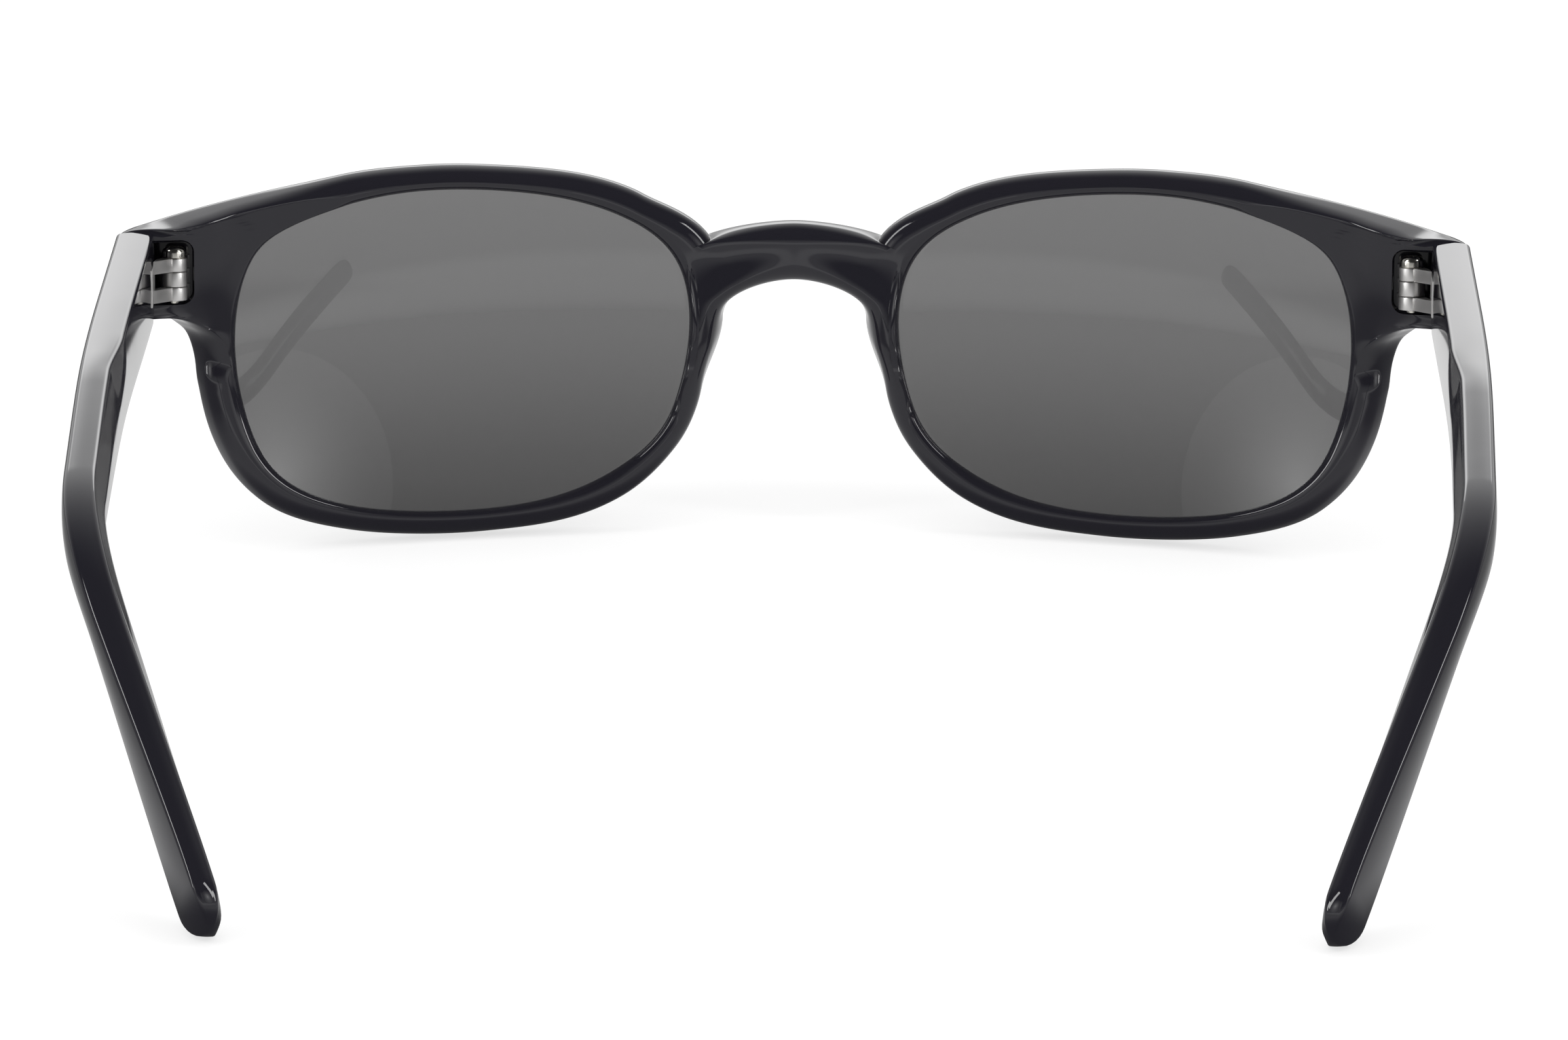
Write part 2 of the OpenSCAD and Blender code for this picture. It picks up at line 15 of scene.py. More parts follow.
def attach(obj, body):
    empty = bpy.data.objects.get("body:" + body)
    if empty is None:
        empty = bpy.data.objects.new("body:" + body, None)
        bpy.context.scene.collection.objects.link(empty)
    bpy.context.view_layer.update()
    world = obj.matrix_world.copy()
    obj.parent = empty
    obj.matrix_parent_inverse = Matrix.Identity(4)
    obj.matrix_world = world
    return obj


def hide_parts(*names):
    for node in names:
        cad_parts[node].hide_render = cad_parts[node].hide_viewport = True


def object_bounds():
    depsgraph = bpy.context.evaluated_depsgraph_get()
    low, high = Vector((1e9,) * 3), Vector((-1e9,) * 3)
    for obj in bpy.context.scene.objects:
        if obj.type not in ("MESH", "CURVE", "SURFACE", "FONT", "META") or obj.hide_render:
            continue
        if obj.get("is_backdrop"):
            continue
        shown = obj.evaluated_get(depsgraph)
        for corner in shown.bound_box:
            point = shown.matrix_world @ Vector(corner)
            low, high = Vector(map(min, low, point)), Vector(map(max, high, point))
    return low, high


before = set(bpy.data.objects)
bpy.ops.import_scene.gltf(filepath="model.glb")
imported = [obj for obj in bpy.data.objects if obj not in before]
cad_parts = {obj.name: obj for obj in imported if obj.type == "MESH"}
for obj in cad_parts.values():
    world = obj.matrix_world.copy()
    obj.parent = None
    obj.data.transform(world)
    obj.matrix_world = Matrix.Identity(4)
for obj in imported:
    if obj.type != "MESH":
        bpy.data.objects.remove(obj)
cad_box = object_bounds()

MM = 0.001

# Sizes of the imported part, in millimetres
LENS_W, LENS_H, BRIDGE_GAP, LENS_MID = 49.1, 35.4, 22.2, 19.8
BASE_R, WRAP_U, TILT = 88.0, 18.2, np.radians(9.5)
RIM_T, END_T = 4.2, 4.8
RIM_TOP, RIM_BOTTOM, RIM_CHEEK, RIM_NOSE, RIM_BROW = 2.35, 2.3, 2.3, 2.4, 4.8
BRIDGE_H, BRIDGE_TOP, BRIDGE_T = 6.2, 33.7, 4.4
NOSE_EXTRA, NOSE_SPLAY = 1.3, 0.16
END_REACH, END_LOW, END_HIGH, BUTT_N = 10.4, 24.0, 33.0, 20.2
LENS_T, LENS_INSET, GROOVE, LENS_FIT = 1.6, 0.9, 0.75, 0.05
TEMPLE_L, BEND_S, BEND_L, TEMPLE_T, TIP_T = 140.0, 95.0, 22.0, 3.9, 3.2
BUTT_H, BEND_H, TIP_H = 9.8, 6.4, 7.6
HOOK_DROP, HOOK_IN, HOOK_ROLL, TEMPLE_IN = 42.0, 19.0, 13.0, 2.3
BUTT_GAP, LEVEL_L, FACET = 0.08, 46.0, 0.7
BARREL_D, BARREL_H, SLOT_H, SLOT_FIT = 2.8, 1.4, 1.65, 0.05
SCREW_D, SCREW_FIT = 1.4, 0.05
HINGE_IN, HINGE_N, HINGE_W = 5.9, 1.6, 28.3
PLATE_L, PLATE_T, PLATE_PROUD, PLATE_START = 3.5, 1.0, 0.25, 1.1
ORIGIN = np.array([0.0, -69.3, 0.796423])

LENS_U = BRIDGE_GAP / 2 + LENS_W / 2
CURVE_W = LENS_MID + 0.2
FLAT_U = BRIDGE_GAP / 2 + LENS_W + 0.8
END_U = BRIDGE_GAP / 2 + LENS_W + END_REACH
HINGE_U = END_U - HINGE_IN
AXIS_N = BUTT_N - HINGE_N
HINGE_H = 2 * BARREL_H + SLOT_H
HINGE_LOW = HINGE_W - HINGE_H / 2


def ease(t):
    """Smooth step: c * c * (3 - 2 * c), with c = t held between 0 and 1."""
    c = np.clip(t, 0.0, 1.0)
    return c * c * (3.0 - 2.0 * c)


def settle(t):
    """Ease with level curvature at both ends: 6 t^5 - 15 t^4 + 10 t^3."""
    t = np.clip(t, 0, 1)
    return t**3 * (t * (6 * t - 15) + 10)


def mix(a, b, t):
    """a at t = 0 and b at t = 1, straight between."""
    return a + (b - a) * t


def unit(v):
    """v over its length, row by row."""
    return v / np.linalg.norm(v, axis=-1, keepdims=True)


def posed(p):
    """(u, -n, w) turned back by the tilt of the front and moved to the part's frame."""
    p = np.asarray(p, float)
    y = p[..., 1] * np.cos(TILT) + p[..., 2] * np.sin(TILT)
    z = -p[..., 1] * np.sin(TILT) + p[..., 2] * np.cos(TILT)
    return np.stack([p[..., 0], y, z], -1) - ORIGIN


def placed(p):
    """(u, w, n) moved to the part's frame."""
    return posed(np.stack([p[..., 0], -p[..., 2], p[..., 1]], -1))


def closed_curve(points, t):
    """Periodic cubic spline through the points at the numbers t: on each span
    (1 - f) y0 + f y1 + ((1 - f)^3 - (1 - f)) m0 / 6 + (f^3 - f) m1 / 6, where
    the second derivatives m solve m[-1] + 4 m[0] + m[1] = 6 (y[1] - 2 y[0] + y[-1])."""
    n = len(points)
    one = np.eye(n)
    system = 4 * one + np.roll(one, 1, 0) + np.roll(one, -1, 0)
    turn = np.roll(points, -1, 0) - 2 * points + np.roll(points, 1, 0)
    bend = np.linalg.solve(system, 6 * turn)
    k = np.floor(t).astype(int)
    f = (t - k)[:, None]
    g = 1 - f
    a, b = k % n, (k + 1) % n
    return g * points[a] + f * points[b] + ((g**3 - g) * bend[a] + (f**3 - f) * bend[b]) / 6


def open_curve(points, t):
    """Catmull-Rom curve: 0.5 (2 b + (c - a) f + (2 a - 5 b + 4 c - d) f^2
    + (3 b - a - 3 c + d) f^3) over four neighbouring points a, b, c, d."""
    n = len(points)
    k = np.clip(np.floor(t).astype(int), 1, n - 3)
    f = (t - k)[:, None]
    a, b, c, d = (points[k + i] for i in (-1, 0, 1, 2))
    return 0.5 * (2 * b + (c - a) * f + (2 * a - 5 * b + 4 * c - d) * f**2
                  + (3 * b - a - 3 * c + d) * f**3)


# The front face and the depth of the material behind it

# Before an end's outer side the inward normal turns to straight n: where the
# turn starts, and its length
SQUARE_FROM, SQUARE_LONG = 4.6, 4.0
# The thickness grows at an end and at the nose bearing: the length of each
# blend, and how far before its place it starts
END_BLEND, END_EARLY_U, END_EARLY_W = 5, 1.6, 5.6
NOSE_BLEND_U, NOSE_BLEND_W, NOSE_EARLY_U, NOSE_EARLY_W = 7, 8, 0.6, 1
NOSE_U = LENS_U - LENS_W * 0.36
NOSE_LOW, NOSE_HIGH = LENS_MID - LENS_H * 0.22, LENS_MID + LENS_H * 0.26


def dome(q, w):
    """Depth of a sphere of the base radius: r - sqrt(r^2 - q^2 - (w - centre)^2)."""
    return BASE_R - np.sqrt(BASE_R**2 - q**2 - (w - CURVE_W)**2)


def face_n(u, w):
    """Front face: a sphere beyond the flat middle, then its tangent to the end."""
    q = np.maximum(u - WRAP_U, 0)
    q1 = FLAT_U - WRAP_U
    rise = q1 / np.sqrt(BASE_R**2 - q1**2 - (w - CURVE_W)**2)
    return dome(np.minimum(q, q1), w) + np.maximum(q - q1, 0) * rise


def face_in(u, w):
    """Unit normal of the front face into the material, as (u, w, n), turning
    to straight n over the last of an end."""
    q = np.clip(u - WRAP_U, 0, FLAT_U - WRAP_U) / BASE_R
    c = (w - CURVE_W) / BASE_R
    normal = np.stack([-q, -c, np.sqrt(1 - q**2 - c**2)], -1)
    square = ease((u - (END_U - SQUARE_FROM)) / SQUARE_LONG)[..., None]
    return unit(mix(normal, np.array([0.0, 0.0, 1.0]), square))


def depth_at(u, w):
    """Thickness: the rim's, more at the ends and the nose, and never past the butt."""
    near_end = (settle((u - FLAT_U + END_EARLY_U) / END_BLEND)
                * settle((w - END_LOW + END_EARLY_W) / END_BLEND))
    nose = (settle((NOSE_U - u + NOSE_EARLY_U) / NOSE_BLEND_U)
            * settle((w - NOSE_LOW + NOSE_EARLY_W) / NOSE_BLEND_W)
            * settle((NOSE_HIGH - w + NOSE_EARLY_W) / NOSE_BLEND_W))
    thick = mix(RIM_T, END_T, near_end) + NOSE_EXTRA * nose
    return np.minimum(thick, (BUTT_N - face_n(u, w)) / face_in(u, w)[..., 2])


def under(p, depth):
    """Point at a depth along the inward normal under place p = (u, w)."""
    u, w = p[..., 0], p[..., 1]
    return np.stack([u, w, face_n(u, w)], -1) + np.asarray(depth)[..., None] * face_in(u, w)


def on_lens(p, depth):
    """Point of the lens sphere at a depth: n = r - sqrt((r - d)^2 - du^2 - dw^2)."""
    u, w = p[..., 0], p[..., 1]
    r = BASE_R - depth
    return np.stack([u, w, BASE_R - np.sqrt(r**2 - (u - WRAP_U)**2 - (w - CURVE_W)**2)], -1)


# Outlines of the front. A place on them is a number: it counts the points of
# OPENING, from the outer side over the top to the nose and back below.

# Edge of the opening, in shares of its half sizes
OPENING = np.array([
    [1, 0.05], [0.95, 0.52], [0.77, 0.785], [0.39, 0.955], [0, 1], [-0.395, 0.953],
    [-0.71, 0.825], [-0.925, 0.59], [-1, 0.2], [-0.955, -0.25], [-0.82, -0.6],
    [-0.506, -0.871], [-0.118, -0.985], [0.265, -0.991], [0.567, -0.924],
    [0.8, -0.755], [0.935, -0.44]])
SIDES = len(OPENING)
# Numbers of the brow and the nose, between which the bridge starts, and of the
# two places where an end leaves the rim; the depth of the notch at the brow
BROW_K, NOSE_K, END_K0, END_K1, NOTCH = 7, 8, -0.45, 2.8, 0.95
# Stations from one number to the next, on a rim and at an end
FINE, FINER = 14, 34
STATIONS = np.concatenate([
    k + np.arange(n) / n
    for k, n in ((k, FINER if k == SIDES - 1 or k < 3 else FINE) for k in range(SIDES))])
# Width of the rim as (number, width)
RIM_AT = np.array([
    [-0.5, RIM_CHEEK * 1.38], [2.4, RIM_TOP * 1.23], [3.6, RIM_TOP], [4.2, RIM_TOP],
    [6.1, RIM_TOP * 1.25], [BROW_K, RIM_BROW], [NOSE_K, RIM_NOSE * 1.55],
    [NOSE_K + 0.9, RIM_NOSE], [NOSE_K + 1.8, RIM_NOSE], [10.6, RIM_BOTTOM * 1.22],
    [12, RIM_BOTTOM], [13.6, RIM_BOTTOM], [14.9, RIM_CHEEK * 1.15], [16.3, RIM_CHEEK * 1.38],
    [16.5, RIM_CHEEK * 1.38]])
# Half a step for the edge's direction, and the lead of an end's line on the rim
NUDGE, END_LEAD = 0.02, 0.3


def edge(t):
    """Edge of the lens opening at the numbers t, as (u, w)."""
    return closed_curve(OPENING * [LENS_W / 2, LENS_H / 2] + [LENS_U, LENS_MID], t)


def outward(t):
    """Outward normal of the edge: its direction turned by a right angle."""
    d = edge(t + NUDGE) - edge(t - NUDGE)
    return unit(np.stack([d[:, 1], -d[:, 0]], -1))


def eased_table(places, values, s):
    """Value eased from one place to the next."""
    k = np.clip(np.searchsorted(places, s, side="right") - 1, 0, len(places) - 2)
    return mix(values[k], values[k + 1], ease((s - places[k]) / (places[k + 1] - places[k])))


def rim_width(t):
    """Width of the rim: each span of RIM_AT eased from one value to the next."""
    places, widths = RIM_AT.T
    t = np.where(t < places[0], t + SIDES, t)
    t = np.where(t > places[-1], t - SIDES, t)
    return eased_table(places, widths, t)


def rim_edge(t):
    """Outer edge of a rim: the opening's edge plus the width along its normal,
    sunk by the notch over the bridge."""
    sink = NOTCH * ease(1 - np.abs(t - BROW_K))
    return edge(t) + outward(t) * rim_width(t)[:, None] - np.stack([0 * t, sink], -1)


# Line of an end: from the rim's edge below, round the lower corner, up the side
# and back over the top to the rim's edge, as steps from the two corners
END_LINE = np.concatenate([
    rim_edge(np.array([END_K0 - END_LEAD, END_K0])),
    np.array([[-6.5, -2.3], [-5.1, -0.5], [-3.4, 0.35], [-1.3, 0.1], [-0.2, 0.75], [0, 2.8]])
    + [END_U, END_LOW],
    np.array([[0, -2.3], [-0.1, -0.7], [-0.8, 0.3], [-4.6, 1.6], [-10.6, 3.15]])
    + [END_U, END_HIGH],
    rim_edge(np.array([END_K1, END_K1 + END_LEAD]))])


def outline(t):
    """Outer edge all round: the end's line between its two numbers, else the rim's."""
    s = np.where(t > SIDES / 2, t - SIDES, t)
    at_end = (s >= END_K0) & (s <= END_K1)
    share = np.clip((s - END_K0) / (END_K1 - END_K0), 0, 1)
    line = open_curve(END_LINE, 1 + share * (len(END_LINE) - 3))
    return np.where(at_end[:, None], line, rim_edge(t))


def lens_edge(t, into):
    """Edge of a lens, let into the middle of the opening's wall by a depth."""
    middle = under(edge(t), np.full(len(t), LENS_INSET + LENS_T / 2))
    return middle[:, :2] + outward(t) * into


# Section of the ring round a lens

# Rounds in front, behind, behind on the inside, and behind at the butt
FRONT_ROUND, REAR_ROUND, INNER_ROUND, BUTT_ROUND = 0.8, 1.6, 1.1, 0.35
# The most of a section's width that a round takes: in front on the outside and
# on the inside, and behind on the outside and on the inside. Where the section
# rises, RIDGE_UP goes from the outer one behind to the inner one.
FRONT_SHARE, LIP_SHARE, OUTER_SHARE, INNER_SHARE, RIDGE_UP = 0.36, 0.3, 0.5, 0.42, 0.1
FRONT_TURN = np.radians(np.linspace(0, 90, 7))
REAR_TURN = np.radians(np.linspace(0, 90, 11))
# Points along the wall and across a face
WALL, FACE = 7, 6
OUTER_N = len(FRONT_TURN) + WALL + len(REAR_TURN)
# Bow of the wall, on top of a rim and at the butt, and how far an end's wall
# leans in on top, with the blends of both
WALL_BOW, TOP_BOW, BUTT_BOW, BOW_RISE = 0.22, 0.5, 0.15, 0.5
TOP_LEAN, LEAN_BLEND, LEAN_RISE = 1.55, 4, 0.6
# How far the butt reaches in and down, and its blend, and the nose splay's
# blend, its late start over the nose's low place and its way past the high one
BUTT_REACH, BUTT_BLEND, BUTT_UNDER = 6, 3, 2
SPLAY_BLEND, SPLAY_LATE, SPLAY_PAST = 8, 1, 2


def at_butt(p):
    """How far a place belongs to the butt, where the rear edges stay crisp."""
    return (ease((p[..., 0] - (END_U - BUTT_REACH)) / BUTT_BLEND)
            * ease((p[..., 1] - END_LOW + BUTT_UNDER) / BUTT_UNDER))


def splay_at(p):
    """Splay of the outer wall, sideways per depth, at the nose bearing."""
    nose = (settle((p[..., 1] - NOSE_LOW - SPLAY_LATE) / SPLAY_BLEND)
            * settle((NOSE_HIGH + SPLAY_PAST - p[..., 1]) / SPLAY_BLEND))
    return np.where(p[..., 0] > LENS_U, 0, NOSE_SPLAY * nose)


def outer_depths(front_round, thick, r):
    """Depths along the outer half: f (1 - sin a) on the front round, straight
    from f to t - r on the wall, and t - r (1 - sin b) on the rear round, with
    the thickness t of each point."""
    front = len(FRONT_TURN)
    wall = np.arange(1, WALL + 1) / (WALL + 1)
    return np.concatenate([
        front_round * (1 - np.sin(FRONT_TURN[::-1])),
        mix(front_round, thick[..., front:front + WALL] - r, wall),
        thick[..., front + WALL:] - r * (1 - np.sin(REAR_TURN))], -1)


def outer_part(w, t, r, rise, bow=WALL_BOW):
    """Outer half of the section, as (distance from the edge, depth): a quarter
    round in front, a wall, and a quarter round behind of depth r, narrower
    where the section rises. The wall bows in by the square of the share of the
    depth from its middle."""
    w, t, r, rise, bow = (np.asarray(x, float)[..., None] for x in (w, t, r, rise, bow))
    front_round = np.minimum(FRONT_SHARE * w, FRONT_ROUND)
    rear_round = np.minimum((OUTER_SHARE - RIDGE_UP * rise) * w, r)
    side = np.concatenate([front_round * (1 - np.cos(FRONT_TURN[::-1])),
                           0 * front_round * np.ones(WALL),
                           rear_round * (1 - np.cos(REAR_TURN))], -1)
    deep = outer_depths(front_round, t * np.ones(OUTER_N), r)
    return side + bow * (2 * deep / t - 1) ** 2, deep


def outer_half(b, w, d):
    """Places and depths of the outer half of each section, drawn in from the
    outline b along the directions d of the sections, which are w wide. An end's
    wall leans in, and the nose bearing's is splayed, in step with the depth."""
    r = mix(REAR_ROUND, BUTT_ROUND, at_butt(b))
    bow = mix(WALL_BOW, TOP_BOW, ease(d[:, 1] / BOW_RISE))
    bow = mix(bow, BUTT_BOW, at_butt(b) * (1 - d[:, 1]**2))
    side, _ = outer_part(w, np.full_like(w, RIM_T), r, d[:, 1], bow)
    place = b[:, None] - d[:, None] * side[..., None]
    front_round = np.minimum(FRONT_SHARE * w, FRONT_ROUND)[:, None]
    deep = outer_depths(front_round, depth_at(place[..., 0], place[..., 1]), r[:, None])
    near_end = ease((b[:, 0] - FLAT_U) / LEAN_BLEND) * ease(d[:, 1] / LEAN_RISE)
    lean = TOP_LEAN * near_end[:, None] * (deep / deep[:, -1:])
    way_in = side + lean + splay_at(b)[:, None] * deep
    return b[:, None] - d[:, None] * way_in[..., None], deep


def ring_parts():
    """Sections of the ring round a lens, station by station: the groove's front
    edge, the inner front round, the front face, the outer half, the rear face,
    the inner rear round and the rest of the groove. Also the places and depths
    of the outer halves, and the column at which they start."""
    a, b = edge(STATIONS), outline(STATIONS)
    w = np.linalg.norm(b - a, axis=1)
    d = (b - a) / w[:, None]
    outer, deep = outer_half(b, w, d)
    between = np.arange(1, FACE + 1)[:, None] / (FACE + 1)

    lip = np.minimum(LIP_SHARE * w, FRONT_ROUND)[:, None]
    inner_front = a[:, None] + d[:, None] * (lip * (1 - np.cos(FRONT_TURN)))[..., None]
    inner_front_deep = lip * (1 - np.sin(FRONT_TURN))
    face = mix(inner_front[:, None, -1], outer[:, None, 0], between)

    back = REAR_TURN[::-1]
    ridge = np.minimum((INNER_SHARE + RIDGE_UP * d[:, 1]) * w, INNER_ROUND)[:, None]
    inner_rear = a[:, None] + d[:, None] * (ridge * (1 - np.cos(back)))[..., None]
    inner_rear_deep = (depth_at(inner_rear[..., 0], inner_rear[..., 1])
                       - INNER_ROUND * (1 - np.sin(back)))
    rear = mix(outer[:, None, -1], inner_rear[:, None, 0], between)

    groove_front, groove_back = LENS_INSET - LENS_FIT, LENS_INSET + LENS_T + LENS_FIT
    front_edge = under(a, np.full(len(a), groove_front))[:, :2]
    back_edge = under(a, np.full(len(a), groove_back))[:, :2]
    seat = lens_edge(STATIONS, GROOVE)
    columns = [on_lens(front_edge, groove_front)[:, None],
               under(inner_front, inner_front_deep),
               under(face, 0 * face[..., 0]),
               under(outer, deep),
               under(rear, depth_at(rear[..., 0], rear[..., 1])),
               under(inner_rear, inner_rear_deep),
               on_lens(back_edge, groove_back)[:, None],
               on_lens(seat, groove_back)[:, None],
               on_lens(seat, groove_front)[:, None]]
    return np.concatenate(columns, 1), outer, deep, 1 + len(FRONT_TURN) + FACE


# Bridge, and the whole front

BRIDGE_RINGS = 28
# Directions of the bridge's curves, as (u, w): where they leave a ring, at the
# notch and under the arch, and where they meet the middle plane, above and below
NOTCH_WAY, ARCH_WAY = np.array([-6.4, 3.6]), np.array([-1.2, 8.2])
TOP_WAY, UNDER_WAY = np.array([-6.0, 0.0]), np.array([-9.0, 0.0])
# Places where the bridge runs into the nose bearing, as (u, w, n), the reach of
# their softening and its steps
SOFT_PLACES = np.array([[9.0, 23.2, 5.1], [9.6, 26.8, 5.3]])
SOFT_REACH, SOFT_STEPS = 3.5, 60


def softened(points, faces, share):
    """Points drawn towards the mean m of their neighbours, step by step:
    p + share * (m - p) / 2."""
    pairs = np.concatenate([faces[:, [k, (k + 1) % 4]] for k in range(4)])
    pairs = np.concatenate([pairs, pairs[:, ::-1]])
    here, there = pairs.T
    count = np.bincount(here, minlength=len(points))
    share = (share * (count > 0))[:, None]
    count = np.maximum(count, 1)[:, None]
    for _ in range(SOFT_STEPS):
        near = points[there]
        total = np.stack([np.bincount(here, near[:, k], len(points)) for k in range(3)], 1)
        points = points + share * (total / count - points) / 2
    return points


def hole_loop(stations):
    """Way round the hole in a ring's nose side, as (station, point of the outer
    half): up its first section, along behind, back its last and along in front."""
    last = OUTER_N - 1
    k, i = np.arange(OUTER_N), np.arange(1, stations)
    return np.concatenate([np.stack([0 * k, k], 1), np.stack([i, 0 * i + last], 1),
                           np.stack([0 * k + stations, k[::-1]], 1),
                           np.stack([i[::-1], 0 * i], 1)])


def bridge_loft(start, start_deep, point, share):
    """Rings of the bridge from a ring's hole to the middle plane. Each point
    runs on a Hermite curve, from its place on the hole to its place in the
    bridge's own section there, and its depth eases. The share is 0 on top of
    the bridge and 1 below."""
    side, mid_deep = outer_part(BRIDGE_H, BRIDGE_T, REAR_ROUND, 0)
    side, mid_deep = side[point][:, None], mid_deep[point]
    height = mix(BRIDGE_TOP - side, BRIDGE_TOP - BRIDGE_H + side, share)
    middle = np.concatenate([0 * share, height], 1)
    f = (np.arange(1, BRIDGE_RINGS + 1) / BRIDGE_RINGS)[:, None, None]
    path = (start * (1 - 3 * f**2 + 2 * f**3)
            + mix(NOTCH_WAY, ARCH_WAY, share) * (f - 2 * f**2 + f**3)
            + middle * (3 * f**2 - 2 * f**3)
            + mix(TOP_WAY, UNDER_WAY, share) * (f**3 - f**2))
    return under(path, mix(start_deep, mid_deep, ease(f[..., 0])))


def front_mesh():
    """Points and faces of the whole front: a ring round each lens, with a hole
    in its nose side, and a bridge lofted from hole to hole, softened where it
    runs into the nose bearings."""
    rings, outer, deep, first = ring_parts()
    count, size = rings.shape[:2]
    ring_n = count * size
    i0, i1 = (int(np.searchsorted(STATIONS, k)) for k in (BROW_K, NOSE_K))
    loop = hole_loop(i1 - i0)
    station, point = i0 + loop[:, 0], loop[:, 1]
    share = (loop[:, 0] / (i1 - i0))[:, None]
    lofted = bridge_loft(outer[station, point], deep[station, point], point, share)
    half = np.concatenate([rings.reshape(-1, 3), lofted[:-1].reshape(-1, 3)])
    half_n, loop_n = len(half), len(loop)
    points = np.concatenate([half, half * [-1, 1, 1], lofted[-1]])

    i, j = (x.ravel() for x in np.meshgrid(np.arange(count), np.arange(size), indexing="ij"))
    keep = ~((i >= i0) & (i < i1) & (j >= first) & (j < first + OUTER_N - 1))
    i, j = i[keep], j[keep]
    at = lambda i, j: (i % count) * size + j % size
    ring_faces = np.stack([at(i, j), at(i, j + 1), at(i + 1, j + 1), at(i + 1, j)], 1)
    hole = at(station, first + point)
    between = ring_n + np.arange((BRIDGE_RINGS - 1) * loop_n).reshape(-1, loop_n)
    bridge_faces = []
    for half_at in (0, half_n):
        rows = np.concatenate([(half_at + hole)[None], half_at + between,
                               (2 * half_n + np.arange(loop_n))[None]])
        step = np.roll(rows, -1, 1)
        quads = np.stack([rows[:-1], step[:-1], step[1:], rows[1:]], -1)
        bridge_faces.append(quads.reshape(-1, 4))
    faces = np.concatenate([ring_faces, ring_faces + half_n] + bridge_faces)

    column = np.arange(size)
    open_side = (column >= first) & (column < first + OUTER_N + FACE)
    share = np.concatenate([np.tile(open_side, count), np.ones(half_n - ring_n)])
    share = np.concatenate([share, share, np.ones(loop_n)])
    away = np.linalg.norm(np.abs(points)[:, None] - SOFT_PLACES, axis=2).min(1)
    return placed(softened(points, faces, share * ease(1 - away / SOFT_REACH))), faces


# Making of pieces

SHARP_ANGLE, DOUBLES = 38.0, 1e-7


def added(name, data):
    """A new object in the scene."""
    obj = bpy.data.objects.new(name, data)
    bpy.context.scene.collection.objects.link(obj)
    return obj


def tidy(mesh):
    """Merges doubles, turns faces outwards and shades smooth below the sharp angle."""
    bm = bmesh.new()
    bm.from_mesh(mesh)
    bmesh.ops.remove_doubles(bm, verts=bm.verts, dist=DOUBLES)
    bmesh.ops.recalc_face_normals(bm, faces=bm.faces)
    bm.to_mesh(mesh)
    bm.free()
    mesh.shade_smooth()
    mesh.set_sharp_from_angle(angle=np.radians(SHARP_ANGLE))


def tidy_mesh(name, points, faces):
    """A tidied mesh from points in millimetres and faces."""
    mesh = bpy.data.meshes.new(name)
    mesh.from_pydata((points * MM).tolist(), [], [list(map(int, f)) for f in faces])
    tidy(mesh)
    return mesh


def make(name, points, faces, finish, body, node):
    """A closed piece, which rides on a body and stands for a node."""
    piece = added(name, tidy_mesh(name, points, faces))
    piece.data.materials.append(finish)
    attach(piece, body)
    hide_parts(node)
    return piece


def carve(piece, points, faces):
    """Cuts a closed shape out of a piece and keeps the result as its mesh."""
    cutter = added("cutter", tidy_mesh("cutter", points, faces))
    cut = piece.modifiers.new("cut", "BOOLEAN")
    cut.operation = "DIFFERENCE"
    cut.solver = "EXACT"
    cut.object = cutter
    bpy.context.view_layer.update()
    graph = bpy.context.evaluated_depsgraph_get()
    result = bpy.data.meshes.new_from_object(piece.evaluated_get(graph))
    piece.modifiers.clear()
    piece.data = result
    bpy.data.objects.remove(cutter)
    tidy(result)


def grid_faces(rows, columns):
    """Quads of a grid whose columns close on themselves, with index arrays."""
    i, j = (x.ravel() for x in np.meshgrid(np.arange(rows - 1), np.arange(columns), indexing="ij"))
    k = (j + 1) % columns
    low, high = i * columns, (i + 1) * columns
    return np.stack([low + j, low + k, high + k, high + j], 1)


def closed_tube(rings):
    """Points and faces of rings joined along, each end closed by a fan."""
    rows, columns = rings.shape[:2]
    points = np.concatenate([rings.reshape(-1, 3), rings[:1].mean(1), rings[-1:].mean(1)])
    j = np.arange(columns)
    k = (j + 1) % columns
    low, high, last = rows * columns, rows * columns + 1, (rows - 1) * columns
    faces = [grid_faces(rows, columns), np.stack([np.full(columns, low), k, j], 1),
             np.stack([np.full(columns, high), last + j, last + k], 1)]
    return points, [list(f) for group in faces for f in group]


def joined(parts):
    """Points and faces of several closed shapes as one piece."""
    points, faces, at = [], [], 0
    for p, f in parts:
        points.append(p)
        faces += [[int(v) + at for v in face] for face in f]
        at += len(p)
    return np.concatenate(points), faces


def mirrored(points, side):
    """Points of the right side, or their mirror image for the left."""
    return points * [side, 1, 1]


# Materials. Colours are linear, and roughness runs from the first value to the
# second over the smears.

PLASTIC_IOR = 1.5
BLACK, BLACK_ROUGH = (0.0125, 0.0120, 0.0162), (0.05, 0.11)
STEEL, STEEL_ROUGH = (0.74, 0.73, 0.72), (0.34, 0.48)
NICKEL, NICKEL_ROUGH = (0.80, 0.78, 0.72), (0.12, 0.22)
TINT_LOW, TINT_MIDDLE = (0.087, 0.0867, 0.087), (0.131, 0.1304, 0.131)
TINT_HIGH = (0.158, 0.1573, 0.158)
# Heights between which the tint changes, in metres, and the middle tint's share
TINT_FROM, TINT_TO, TINT_MIDDLE_AT = 0.003, 0.037, 0.52
# Noise between which the smears set in
SMEAR_FROM, SMEAR_TO = 0.45, 0.75


def material(name):
    """A new material, its node tree and its Principled BSDF."""
    m = bpy.data.materials.new(name)
    m.use_nodes = True
    return m, m.node_tree, m.node_tree.nodes["Principled BSDF"]


